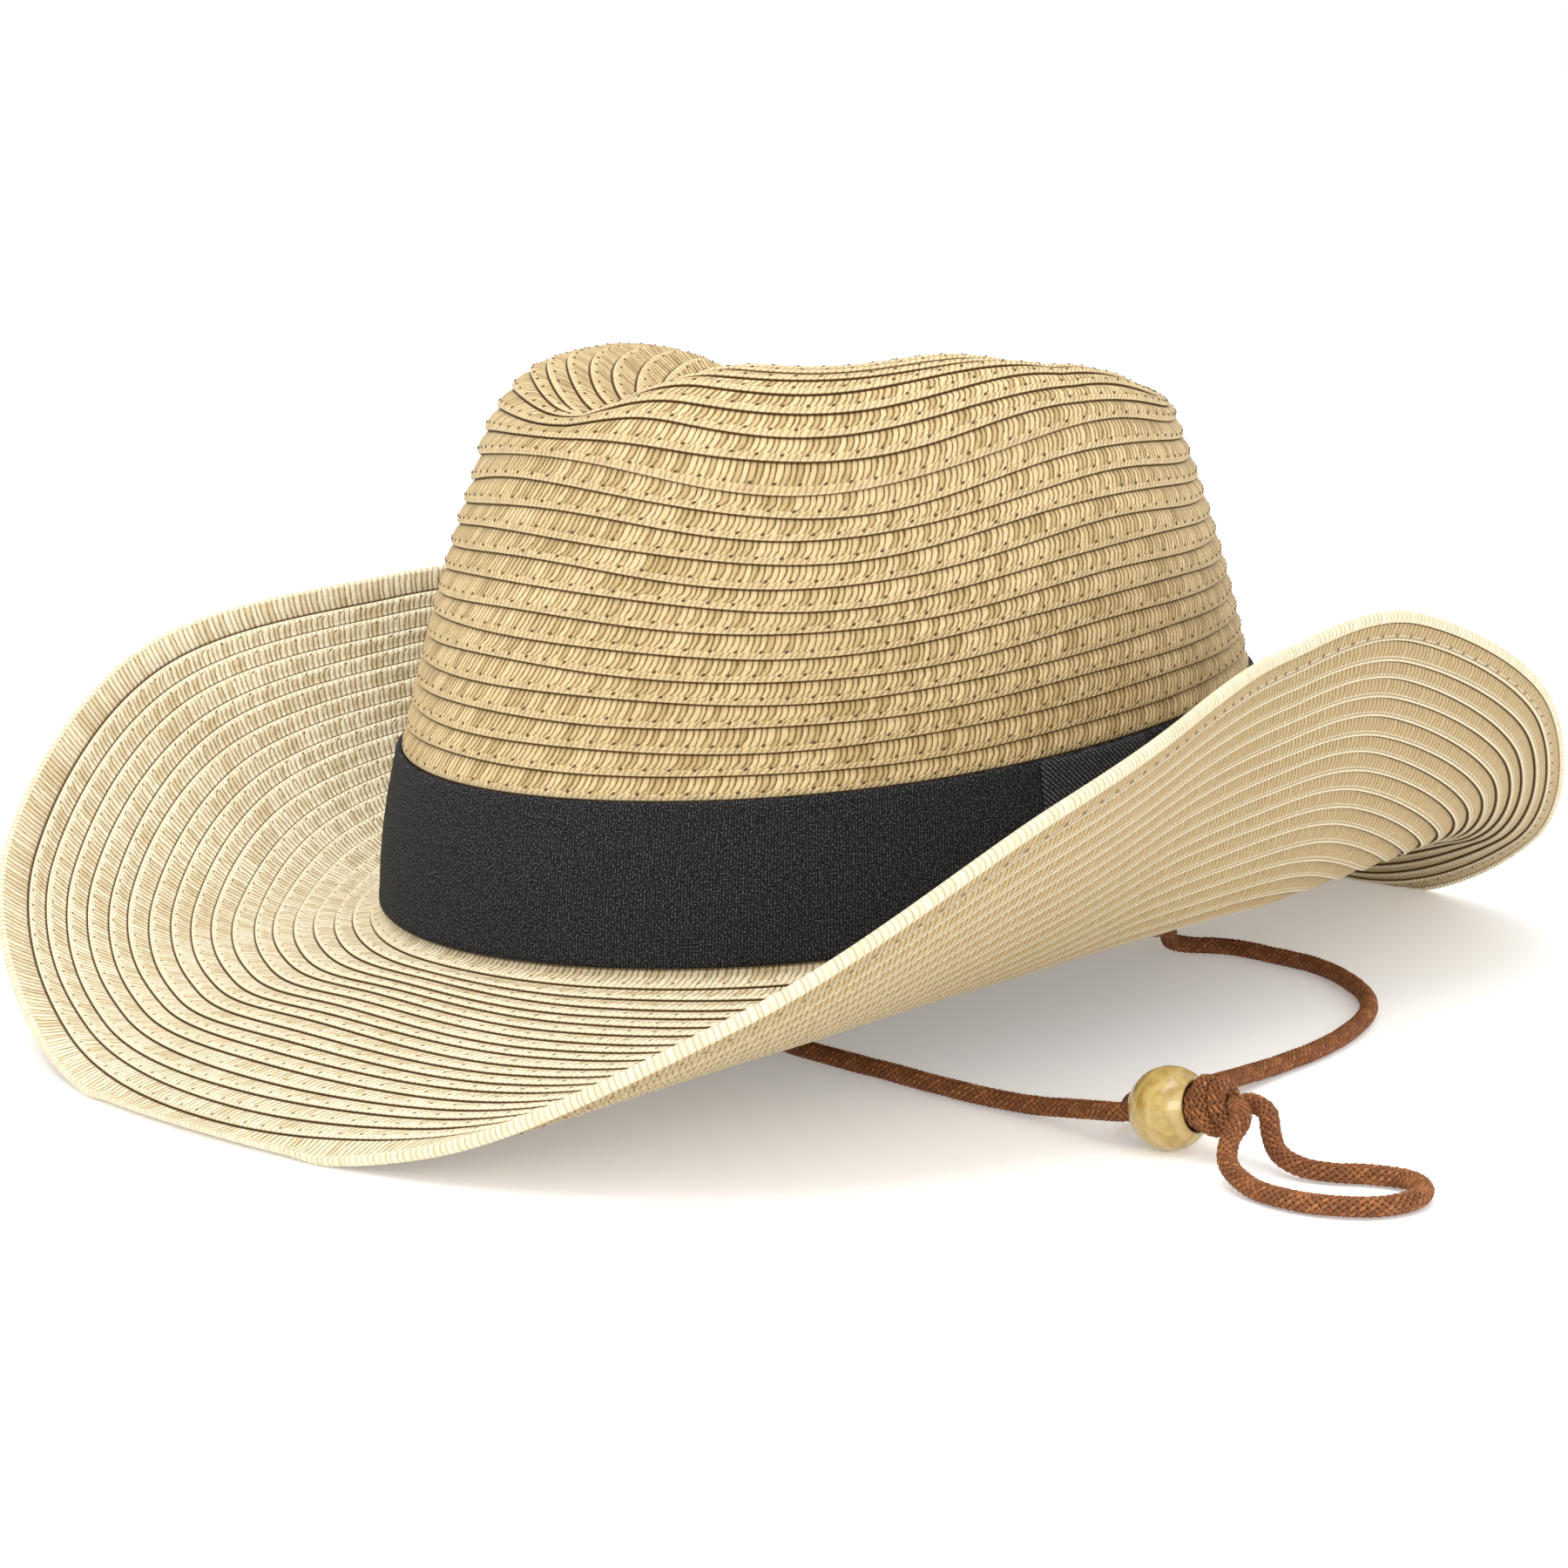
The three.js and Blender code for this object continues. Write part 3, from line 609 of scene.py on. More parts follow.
# %% Crown surface
def crown_surface(turn, row):
    """Outer surface: row -1 to 0 behind the band, 0 to 1 up the wall, 1 to 2 over the top."""
    turn, row = np.broadcast_arrays(np.asarray(turn, float), np.asarray(row, float))
    share = row + 1
    curve = mix(share * share, share, EVEN_LEAN)
    length = mix(OVAL_HALF_LENGTH, BAND_TOP_HALF_LENGTH, curve)
    width = mix(OVAL_HALF_WIDTH, BAND_TOP_HALF_WIDTH, curve)
    band_top = break_line(turn) + BAND_HEIGHT
    foot = break_line(turn) + COLLAR_HEIGHT + TOUCH_GAP
    behind = polar(turn, oval_radius(turn, length, length, width), mix(foot, band_top, share))
    up, over = np.clip(row, 0, 1), np.clip(row - 1, 0, 1)
    radius = oval_radius(
        turn, mix(BAND_TOP_HALF_LENGTH, SHOULDER_FRONT, up), mix(BAND_TOP_HALF_LENGTH, SHOULDER_BACK, up),
        mix(BAND_TOP_HALF_WIDTH, SHOULDER_HALF_WIDTH, up) + WALL_SWELL * 4 * up * (1 - up))
    inward = 1 - over ** SHOULDER_CROWDING
    bulge = np.maximum(0, 1 - inward ** DOME_FULLNESS) ** DOME_POWER
    shoulder = BREAK_HEIGHT + BAND_HEIGHT + WALL_HEIGHT
    tilted = shoulder - SHOULDER_TILT * np.cos(turn) + SHOULDER_WAVE * np.cos(4 * turn)
    dome = DOME_RISE + DOME_TILT * np.cos(turn) + DOME_WAVE * np.cos(2 * turn)
    level = mix(band_top, tilted, up) + dome * bulge
    t = np.clip(inward / EVEN_SHARE, 0, 1)
    point = polar(turn, radius * inward, mix(shoulder + DOME_RISE * bulge, level, t * t * (3 - 2 * t)))
    along = point[..., 1] - OVAL_CENTRE
    x = point[..., 0]
    outward = (np.abs(x) / CREASE_HALF_WIDTH) ** CREASE_CORNER
    outward = outward + (np.abs(along - CREASE_CENTRE) / CREASE_HALF_LENGTH) ** CREASE_CORNER
    outward = outward ** (1 / CREASE_CORNER)
    crease = CREASE_DEPTH * np.cos(np.clip(outward, 0, 1) * math.pi / 2) ** CREASE_POWER
    aside = np.clip(np.abs(x - PINCH_SHIFT) / PINCH_HALF_WIDTH, 0, 1)
    forward = np.clip((-along - PINCH_START) / PINCH_RUN, 0, 1)
    pinch = PINCH_DEPTH * np.cos(aside * math.pi / 2) ** 2 * forward
    lean = RIDGE_LEAN + RIDGE_TWIST * along / RIDGE_REACH
    point[..., 2] += lean * up * x / RIDGE_REACH - (crease + pinch) * np.clip(over / CREASE_ONSET, 0, 1)
    return np.where((row < 0)[..., None], behind, point)


print("crown top:", crown_surface(0.0, 1.2).round(1))


# %% Brim surface
def along_brim(column, turn):
    values = np.array(BRIM_TABLE[column], float)
    last = len(values) - 1
    place = np.abs(np.arctan2(np.sin(turn), np.cos(turn))) / math.pi * last
    first = np.minimum(last - 1, np.floor(place)).astype(int)

    def value(index):
        index = np.abs(index)
        return values[np.where(index > last, 2 * last - index, index)]

    t = place - first
    a, b, c, d = value(first - 1), value(first), value(first + 1), value(first + 2)
    return b + 0.5 * t * (c - a + t * (2 * a - 5 * b + 4 * c - d + t * (3 * (b - c) + d - a)))


def brim_section(turn, place):
    """Upper surface of the brim at a share of its section, from the crown's foot to the rim."""
    turn, place = np.broadcast_arrays(np.asarray(turn, float), np.asarray(place, float))
    start = oval_radius(turn, OVAL_HALF_LENGTH, OVAL_HALF_LENGTH, OVAL_HALF_WIDTH)
    reach = BRIM_REACH * along_brim("reach", turn)
    base = break_line(turn)
    rim = CURL_HEIGHT * along_brim("rise", turn) - REST_FLAT + STRAW_THICKNESS
    turn_radius = start + reach * along_brim("belly", turn)
    turn_height = base - SAG_DEPTH * along_brim("sag", turn)
    near, middle, far = (1 - place) ** 2, 2 * place * (1 - place), place ** 2
    radius = near * start + middle * turn_radius + far * (start + reach)
    fillet = FILLET_HEIGHT * np.clip(1 - (radius - start) / FILLET_RADIUS, 0, 1) ** 2
    return polar(turn, radius, near * base + middle * turn_height + far * rim + fillet)


print("rim at the side:", brim_section(math.pi / 2, 1.0).round(1))

# %% Helpers: lengths and directions on a surface
FINE_PLACES = np.linspace(0, 1, 241)
SMALL_STEP = 0.004


def section_runs(turn):
    """Length along the brim's section, from the crown's foot, at each of the fine places."""
    points = brim_section(turn[:, None], FINE_PLACES[None, :])
    steps = np.linalg.norm(np.diff(points, axis=1), axis=-1)
    return np.concatenate([np.zeros((len(turn), 1)), np.cumsum(steps, axis=1)], axis=1)


def even_places(runs, share):
    """Places at a share of each section's length, so that all rows are equally wide."""
    wanted = np.broadcast_to(share, len(runs)) * runs[:, -1]
    return np.array([np.interp(length, run, FINE_PLACES) for length, run in zip(wanted, runs)])


def along_row(surface, turn, row):
    return surface(turn + SMALL_STEP, row) - surface(turn - SMALL_STEP, row)


def facing(surface, turn, row):
    """Outward direction of a surface given by a function of turn and row."""
    upward = surface(turn, row + SMALL_STEP) - surface(turn, row - SMALL_STEP)
    normal = np.cross(along_row(surface, turn, row), upward)
    return normal / np.linalg.norm(normal, axis=-1, keepdims=True)


def level_out(directions):
    """The directions without their rise, each one unit long."""
    directions[:, 2] = 0
    return directions / np.linalg.norm(directions, axis=-1, keepdims=True)


print("crown's front wall faces", facing(crown_surface, 0.0, 0.5).round(2))

# %% [markdown]
# ## Laying rows of braid
# A row is about 5 mm wide. One edge is tucked under the next row and the other, the lip, lies free on
# top. That gives each row a small step, a dark gap under its lip and a scalloped outline, so the rows
# are modelled and not painted. A shell is a stack of rings round the hat, joined by strips of faces.
# Each strip gets its own map: u is the distance along the row in millimetres, and v is the row's number
# plus the share across it, from 0 at the tucked edge to 1 at the lip.

# %% Row map
COLUMNS = 448
STITCH_PITCH = 5.0
# shares of a row's map: at its lip, just short of the next row, and where the lip's step ends
ROW_SPAN, ROW_END = 0.985, 0.995
turns = np.linspace(-math.pi, math.pi, COLUMNS, endpoint=False)


def row_value(row, share):
    """Value v of the map at a share of a row's width, from its tucked edge to its lip."""
    return row + ROW_SPAN * min(max(share, 0.0), 1.0)


def row_run(ring):
    """Distance along a closed ring at each column and at its end, as a whole number of stitches."""
    closed = np.vstack([ring, ring[:1]])
    run = np.concatenate([[0], np.cumsum(np.linalg.norm(np.diff(closed, axis=0), axis=-1))])
    return run * (max(1, round(run[-1] / STITCH_PITCH)) * STITCH_PITCH / run[-1])


print("columns:", COLUMNS, "stitches every", STITCH_PITCH, "mm")


# %% Ring shell builder
class Shell:
    """Rings, the strips of faces between them, and each strip's map."""

    def __init__(self, columns=COLUMNS):
        self.columns, self.points, self.count = columns, [], 0
        self.quads, self.uvs, self.fans, self.fan_uvs = [], [], [], []

    def ring(self, points):
        self.points.append(points)
        self.count += 1
        return self.count - 1

    def strip(self, low, high, run, v_low, v_high):
        i = np.arange(self.columns)
        j = (i + 1) % self.columns
        self.quads.append(np.stack([low * self.columns + i, low * self.columns + j,
                                    high * self.columns + j, high * self.columns + i], -1))
        corners = np.zeros((self.columns, 4, 2))
        corners[:, 0, 0] = corners[:, 3, 0] = run[:-1]
        corners[:, 1, 0] = corners[:, 2, 0] = run[1:]
        corners[:, :2, 1], corners[:, 2:, 1] = v_low, v_high
        self.uvs.append(corners)

    def row(self, previous, run, value, stations):
        """Adds a ring and a strip for each station, which is a ring's points and its map value."""
        for points, next_value in stations:
            current = self.ring(points)
            self.strip(previous, current, run, value, next_value)
            previous, value = current, next_value
        return previous

    def pole(self, ring, point, run, v, flip=False):
        self.fans.append((ring, point, run, v, flip))

    def mesh(self, name):
        points = np.vstack(self.points)
        quads = np.vstack(self.quads)
        loops, sizes = [quads.ravel()], [np.full(len(quads), 4)]
        uvs = [np.vstack(self.uvs).reshape(-1, 2)]
        for ring, point, run, v, flip in self.fans:
            points = np.vstack([points, point])
            i = np.arange(self.columns)
            j = (i + 1) % self.columns
            a, b = ring * self.columns + i, ring * self.columns + j
            tip = np.full(self.columns, len(points) - 1)
            order = (b, a, tip) if flip else (a, b, tip)
            loops.append(np.stack(order, -1).ravel())
            sizes.append(np.full(self.columns, 3))
            ends = (run[1:], run[:-1]) if flip else (run[:-1], run[1:])
            u = np.stack([ends[0], ends[1], (run[:-1] + run[1:]) / 2], -1)
            rows = np.tile([v, v, v + 0.5], (self.columns, 1))
            uvs.append(np.stack([u, rows], -1).reshape(-1, 2))
        loops, sizes, uvs = np.concatenate(loops), np.concatenate(sizes), np.vstack(uvs)
        mesh = bpy.data.meshes.new(name)
        mesh.vertices.add(len(points))
        mesh.vertices.foreach_set("co", (points * MM).astype(np.float32).ravel())
        mesh.loops.add(len(loops))
        mesh.loops.foreach_set("vertex_index", loops.astype(np.int32))
        mesh.polygons.add(len(sizes))
        starts = np.concatenate([[0], np.cumsum(sizes)[:-1]])
        mesh.polygons.foreach_set("loop_start", starts.astype(np.int32))
        layer = mesh.uv_layers.new(name="braid")
        layer.data.foreach_set("uv", uvs.astype(np.float32).ravel())
        mesh.update(calc_edges=True)
        mesh.validate()
        mesh.shade_smooth()
        mesh.calc_loop_triangles()
        print(name, len(mesh.loop_triangles), "triangles")
        return mesh


print("shell builder ready")

# %% Crown rows
BAND_ROWS, WALL_ROWS, TOP_ROWS = 6, 13, 16
CROWN_ROWS = WALL_ROWS + TOP_ROWS
# rings keep just inside the surface's foot, and short of its tip, where they would shrink to a point
FOOT_LEVEL, TIP_ROW = -BAND_ROWS + 0.001, 1.985
# across one row of the crown, from its lip up to the edge tucked under the next row:
# share of the row's width, height over the crown's surface
LIP_TO_TUCK = [(0.0, -0.2), (0.045, 0.26), (0.3, 0.4), (0.68, 0.06), (1.07, -0.72)]
# on the inside, where the rows lie flatter, from the tip down
INNER_ROW = [(0.96, -0.28), (0.04, 0.0)]
# levels of the plain rings behind the ribbon, and the map values of the crown's foot
BEHIND_RIBBON, FOOT_VALUES, INNER_TIP_VALUE = (-4.5, -3.0, -1.5, -0.25), (-6.2, -6.7, -6.9), 27


def crown_row(level):
    """The crown surface's row at a level counted in rows of braid from the band's upper edge."""
    level = np.asarray(level, float)
    top = 1 + (level - WALL_ROWS) / TOP_ROWS
    return np.where(level < 0, level / BAND_ROWS, np.where(level < WALL_ROWS, level / WALL_ROWS, top))


def wander(seam):
    """How far a seam strays from its place, as a share of a row, for a hand-guided look."""
    return 0.04 * np.sin(3 * turns + 1.7 * seam) + 0.03 * np.sin(8 * turns + 2.9 * seam)


def crown_ring(level, height):
    stray = wander(round(level)) if 0.5 < level < CROWN_ROWS - 1 else 0 * turns
    row = np.minimum(crown_row(level + stray), TIP_ROW)
    return crown_surface(turns, row) + height * facing(crown_surface, turns, row)


print("crown rows:", CROWN_ROWS)

# %% Crown shell
crown_shell = Shell()
first_outer = previous = crown_shell.ring(crown_ring(FOOT_LEVEL, 0))
run = row_run(crown_ring(-BAND_ROWS / 2, 0))
for level in BEHIND_RIBBON:
    previous = crown_shell.row(previous, run, level - 0.9, [(crown_ring(level, 0), level - 0.1)])
crown_seams = []
for k in range(CROWN_ROWS):
    run = row_run(crown_ring(k + 0.5, 0))
    crown_seams.append((k, run))
    previous = crown_shell.row(previous, run, k + ROW_END, [
        (crown_ring(k + share, height), row_value(k, 1 - share)) for share, height in LIP_TO_TUCK])
tip = crown_surface(0.0, 2.0)
crown_shell.pole(previous, tip, run, CROWN_ROWS - 1)
inner_first = previous = None
for k in reversed(range(-BAND_ROWS, CROWN_ROWS)):
    for share, height in [(0.5, 0.0)] if k < -1 else INNER_ROW:
        ring = crown_ring(max(k + share, FOOT_LEVEL), height - STRAW_THICKNESS)
        current = crown_shell.ring(ring)
        if previous is None:
            inner_first = current
        else:
            crown_shell.strip(previous, current, row_run(ring), k + 1 - share, k + 1 - share - 0.5)
        previous = current
foot_run = row_run(ring)
last = crown_shell.row(previous, foot_run, FOOT_VALUES[0], [
    (crown_ring(FOOT_LEVEL, -STRAW_THICKNESS), FOOT_VALUES[1])])
crown_shell.strip(last, first_outer, foot_run, FOOT_VALUES[1], FOOT_VALUES[2])
crown_shell.pole(inner_first, tip - [0, 0, STRAW_THICKNESS], run, INNER_TIP_VALUE, flip=True)
crown_mesh = crown_shell.mesh("crown_braid")
crown = new_piece("crown_braid", crown_mesh)

# %% [markdown]
# ## The brim's rows
# The winding goes on outwards over the brim, so on top each row's lip points outwards and below it
# points inwards. The last row is half as wide again, and its edge is turned over into a firm rim. The
# brim stands on the table at its front and back, so nothing may reach below it.

# %% Brim rows
BRIM_ROWS, OUTER_WIDTH = 18, 1.5
ROW_SHARE = 1 / (BRIM_ROWS + OUTER_WIDTH)
# across one row, in the order in which its rings are laid: share of the row's width, height
UPPER_ROW = [(1.0, -0.2), (0.955, 0.26), (0.7, 0.36), (0.32, 0.04), (-0.06, -0.65)]
LOWER_ROW = [(0.0, -0.3), (0.03, 0.36), (0.14, 0.28), (0.6, -0.05), (1.06, -0.65)]
# the edge row: share of its width, height, and its map value. Below, its body comes first, and then
# the edge that is turned over. Above it has no seam.
EDGE_BODY = [(0.0, -0.25, 0.98), (0.03, 0.3, 0.93), (0.4, 0.16, 0.5), (0.64, -0.05, 0.06),
             (0.66, -0.2, 0.0)]
TURNED_EDGE = [(0.665, 0.26, 1.93), (0.8, 0.34, 1.8)]
EDGE_TOP = [(0.8, 0.3, 0.7), (0.5, 0.26, 0.45), (0.12, 0.02, 0.15), (-0.04, -0.65, 0.0)]
RIM_ANGLES = (-1.35, -0.8, -0.25, 0.25, 0.8, 1.35)
# the map numbers the rows from 0 above and from 40 below, and the edge row has numbers of its own
LOWER_FIRST, EDGE_ROW, EDGE_ROW_TOP = 40, 60, 70
ROLL_RADIUS = 1.3
ROLL_SHARE = 1 - ROLL_RADIUS / BRIM_REACH
RIM_PLACE, TABLE_GAP = 0.996, 0.02
runs = section_runs(turns)
print("brim sections:", runs[:, -1].min().round(1), "to", runs[:, -1].max().round(1), "mm long")


# %% Brim rings
def brim_frame(share):
    """Point of the upper surface at a share of the section's length, and the outward direction."""
    seam = round(share / ROW_SHARE)
    stray = wander(seam + 0.5) * ROW_SHARE if 0 < seam <= BRIM_ROWS else 0
    place = np.minimum(even_places(runs, share + stray), RIM_PLACE)
    point = brim_section(turns, place)
    normal = -facing(brim_section, turns, place)
    point[:, 2] = np.maximum(point[:, 2], STRAW_THICKNESS)
    return point, normal


def on_table(points):
    points[:, 2] = np.maximum(points[:, 2], TABLE_GAP)
    return points


def upper_ring(share, height):
    point, normal = brim_frame(share)
    return on_table(point + height * normal)


def lower_ring(share, height):
    point, normal = brim_frame(share)
    under = point - STRAW_THICKNESS * normal
    under[:, 2] = np.maximum(under[:, 2], 0)
    return on_table(under - height * normal)


def rim_ring(angle):
    point, normal = brim_frame(ROLL_SHARE)
    further, _ = brim_frame(ROLL_SHARE - 0.02)
    outward = point - further
    outward /= np.linalg.norm(outward, axis=-1, keepdims=True)
    centre = point - STRAW_THICKNESS / 2 * normal
    centre[:, 2] = np.maximum(centre[:, 2], ROLL_RADIUS)
    return on_table(centre + ROLL_RADIUS * (math.cos(angle) * outward + math.sin(angle) * normal))


def collar_ring(outward_by, height):
    ring = crown_surface(turns, np.full(COLUMNS, -1.0))
    ring = ring + outward_by * level_out(facing(crown_surface, turns, np.full(COLUMNS, -0.9)))
    ring[:, 2] = break_line(turns) + height
    return ring


def edge_stations(make_ring, base, table):
    return [(make_ring(1 - OUTER_WIDTH * ROW_SHARE * (1 - share), height), base + value)
            for share, height, value in table]


print("brim rows:", BRIM_ROWS, "and the edge row")

# %% Brim shell
# the loop of rings: inside of the collar, underside out to the rim, round the rim, top back in
brim_shell = Shell()
run = row_run(collar_ring(0, 0))
first = brim_shell.ring(collar_ring(-STRAW_THICKNESS, COLLAR_HEIGHT))
previous = brim_shell.row(first, run, 0.9, [(collar_ring(-STRAW_THICKNESS, 1.0), 0.4)])
for k in range(BRIM_ROWS):
    run = row_run(lower_ring((k + 0.5) * ROW_SHARE, 0))
    previous = brim_shell.row(previous, run, LOWER_FIRST + k + ROW_END, [
        (lower_ring((k + share) * ROW_SHARE, height), row_value(LOWER_FIRST + k, 1 - share))
        for share, height in LOWER_ROW if k > 0 or share > 0.04])
run = row_run(lower_ring(1 - ROW_SHARE, 0))
brim_seams = [("under", BRIM_ROWS, run)]
for value, table in ((0.99, EDGE_BODY), (1.99, TURNED_EDGE)):
    previous = brim_shell.row(previous, run, EDGE_ROW + value, edge_stations(lower_ring, EDGE_ROW, table))
for angle in RIM_ANGLES:
    previous = brim_shell.row(previous, run, EDGE_ROW + 1.8, [(rim_ring(angle), EDGE_ROW + 1.78)])
run = row_run(upper_ring(1 - ROW_SHARE, 0))
previous = brim_shell.row(previous, run, EDGE_ROW_TOP + 0.9, edge_stations(
    upper_ring, EDGE_ROW_TOP, EDGE_TOP))
for k in reversed(range(BRIM_ROWS)):
    run = row_run(upper_ring((k + 0.5) * ROW_SHARE, 0))
    brim_seams.append(("upper", k, run))
    previous = brim_shell.row(previous, run, k + ROW_END, [
        (upper_ring((k + share) * ROW_SHARE, height), row_value(k, share))
        for share, height in UPPER_ROW if k > 0 or share > 0.3])
previous = brim_shell.row(previous, run, 0.3, [(collar_ring(0, FILLET_HEIGHT + 0.2), 0.1)])
previous = brim_shell.row(previous, run, 0.1, [(collar_ring(0, COLLAR_HEIGHT), 0.05)])
brim_shell.strip(previous, first, run, 0.05, 0.0)
brim_mesh = brim_shell.mesh("brim_braid")
brim = new_piece("brim_braid", brim_mesh)

# %% [markdown]
# ## Straw finish
# The braid is plaited from flat straws about a millimetre wide. Across a row they first lean a little,
# in slight arcs, and near the lip they slant more. The straws differ in tone, and painted shading makes
# each one paler on its ridge, with painted shade in the thin dark gaps between them. Each lip gets a
# painted highlight along its edge and a painted shadow in the groove under it. The brim's underside
# is painted a little deeper in tone than its top, as painted shade, with a soft painted shadow line
# beside each lip. One group makes all this from the row map, and both straw materials use it with
# their own values.

# %% Shader group: straw plait
def straw_group():
    tree, given, out = new_group("straw_plait", "ShaderNodeTree", [
        ("Map", VECTOR, None),
        ("Straw Pitch", FLOAT, 1.35),
        ("Arc", FLOAT, 0.9),
        ("Slant", FLOAT, 2.2),
        ("Lip Share", FLOAT, 0.28),
        ("Gap Width", FLOAT, 0.42),
        ("Groove Width", FLOAT, 0.15),
    ], [(name, FLOAT) for name in ("Straw", "Gap Shade", "Tone", "Groove Shadow", "Lip", "Lip Highlight", "Lip Side Shadow", "Height")])
    split = add_node(tree, "ShaderNodeSeparateXYZ", {0: given["Map"]})
    u, v = split.outputs[0], split.outputs[1]
    row = math_node(tree, "FLOOR", v)
    across = minus(tree, v, row)
    lip_start = minus(tree, 1.0, given["Lip Share"])
    in_lip = smooth_step(tree, across, minus(tree, lip_start, 0.03), plus(tree, lip_start, 0.03))
    wobble = noise(tree, vector_of(tree, times(tree, u, 0.5), times(tree, row, 2.3)), 1.0, 2.0, flat=True)
    shift = plus(tree, times(tree, row, 0.37), times(tree, wobble, 0.8))
    start = plus(tree, divided(tree, u, given["Straw Pitch"]), shift)
    bow = math_node(tree, "POWER", math_node(tree, "ABSOLUTE", minus(tree, across, 0.35)), 2.0)
    leaning = plus(tree, times(tree, across, 0.9), times(tree, times(tree, bow, given["Arc"]), 3.0))

    def straws(phase, seed):
        ridge = math_node(tree, "SINE", times(tree, math_node(tree, "FRACT", phase), math.pi))
        gap = smooth_step(tree, ridge, 0.0, given["Gap Width"], 1.0, 0.0)
        chance = add_node(tree, "ShaderNodeTexWhiteNoise", {
            "Vector": vector_of(tree, math_node(tree, "FLOOR", phase), row, seed)}, noise_dimensions="3D")
        return ridge, gap, chance.outputs["Value"]

    def choose(body_value, lip_value):
        node = add_node(tree, "ShaderNodeMapRange", {
            "Value": in_lip, "From Min": 0.0, "From Max": 1.0, "To Min": body_value, "To Max": lip_value})
        return node.outputs["Result"]

    def stripe(low, full, fading, high):
        rising = smooth_step(tree, across, low, full)
        return times(tree, rising, smooth_step(tree, across, fading, high, 1.0, 0.0))

    body_ridge, body_gap, body_tone = straws(plus(tree, start, leaning), 1.5)
    lip_ridge, lip_gap, lip_tone = straws(plus(tree, start, times(tree, across, given["Slant"])), 7.5)
    # the ridge makes each straw paler in its middle and darker at its sides: painted shading, and part of
    # the bump
    ridge = choose(body_ridge, lip_ridge)
    # the gaps between straws take painted shade, deeper towards the tucked edge under the next row's lip
    uneven = noise(tree, vector_of(tree, u, times(tree, v, 5.0)), 1.1, 3.0, flat=True)
    depth = smooth_step(tree, uneven, 0.3, 0.6, 0.35, 1.0)
    open_end = smooth_step(tree, across, 0.25, 0.8, 1.0, 0.55)
    gap = times(tree, choose(body_gap, times(tree, lip_gap, 0.6)), times(tree, depth, open_end))
    # the groove mask paints a shadow under each lip: where the next row is tucked, and on the lip's step
    groove_width = given["Groove Width"]
    tucked = smooth_step(tree, across, times(tree, groove_width, 0.45), groove_width, 1.0, 0.0)
    results = {
        "Straw": ridge,
        "Gap Shade": gap,
        "Tone": choose(body_tone, lip_tone),
        "Groove Shadow": math_node(tree, "MAXIMUM", tucked, smooth_step(tree, across, 0.965, 0.985)),
        "Lip": in_lip,
        # a painted highlight along each lip's edge
        "Lip Highlight": stripe(0.87, 0.92, 0.955, 0.975),
        # a soft painted shadow beside each lip
        "Lip Side Shadow": stripe(0.755, 0.82, 0.82, 0.87),
        "Height": minus(tree, times(tree, ridge, 0.8), times(tree, gap, 0.6)),
    }
    for name, socket in results.items():
        tree.links.new(socket, out[name])
    return tree


straw_plait = straw_group()
print("straw group:", len(straw_plait.nodes), "nodes")

# %% Materials: straw of crown and brim
# colours of the painted shadow lines, and of the painted highlight on each lip's edge
PAINTED_SHADOW_BROWN, LIP_HIGHLIGHT_PALE = (0.08, 0.033, 0.004), (0.86, 0.76, 0.54)
# the map's rows between these two are the brim's underside
UNDERSIDE_FROM, UNDERSIDE_TO = 30, 61


def straw_material(name, pale, deep, shade_and_patch_colour, gap_shade_colour, arc, gap_shade_strength, lip_highlight_strength):
    material, tree, shader = principled(name, Roughness=0.62, Specular_IOR_Level=0.18)
    row_map = add_node(tree, "ShaderNodeUVMap", uv_map="braid").outputs[0]
    plait = add_node(tree, "ShaderNodeGroup", {"Map": row_map, "Arc": arc}, node_tree=straw_plait).outputs
    where = object_place(tree)
    patch = noise(tree, where, 26, 3, Roughness=0.6)
    fibre = noise(tree, where, 1500, 2)
    # the brim's underside, which is painted darker than the top as painted shade
    row_place = add_node(tree, "ShaderNodeSeparateXYZ", {0: row_map}).outputs[1]
    underside_shade_mask = times(tree, math_node(tree, "GREATER_THAN", row_place, UNDERSIDE_FROM),
                  math_node(tree, "LESS_THAN", row_place, UNDERSIDE_TO))
    # painted shading across each straw, pale on its ridge, mixed with each straw's own tone
    ridge_shading_and_tone = plus(tree, times(tree, plait["Straw"], 0.6), times(tree, plait["Tone"], 0.75))
    colour = blend_colours(tree, smooth_step(tree, ridge_shading_and_tone, 0.25, 1.15), deep, pale)
    layers = [
        # painted shade: the underside darker than the top
        (times(tree, underside_shade_mask, 0.85), shade_and_patch_colour),
        (smooth_step(tree, patch, 0.4, 0.7, 0.0, 0.3), shade_and_patch_colour),
        (smooth_step(tree, fibre, 0.3, 0.7, 0.3, 0.0), shade_and_patch_colour),
        (times(tree, plait["Lip"], 0.5), pale),
        # painted shade in the gaps between straws
        (times(tree, plait["Gap Shade"], gap_shade_strength), gap_shade_colour),
        # painted shadow beside each lip, on the underside only
        (times(tree, times(tree, plait["Lip Side Shadow"], underside_shade_mask), 0.6), PAINTED_SHADOW_BROWN),
        # painted highlight along each lip's edge
        (times(tree, plait["Lip Highlight"], lip_highlight_strength), LIP_HIGHLIGHT_PALE),
        # painted shadow in the groove under each lip
        (times(tree, plait["Groove Shadow"], 0.95), PAINTED_SHADOW_BROWN),
    ]
    for share, layer in layers:
        colour = blend_colours(tree, share, colour, layer)
    tree.links.new(colour, shader.inputs["Base Color"])
    tree.links.new(smooth_step(tree, plait["Tone"], 0.0, 1.0, 0.55, 0.72), shader.inputs["Roughness"])
    bump(tree, shader, plait["Height"], 0.0003)
    print("material", name)
    return material


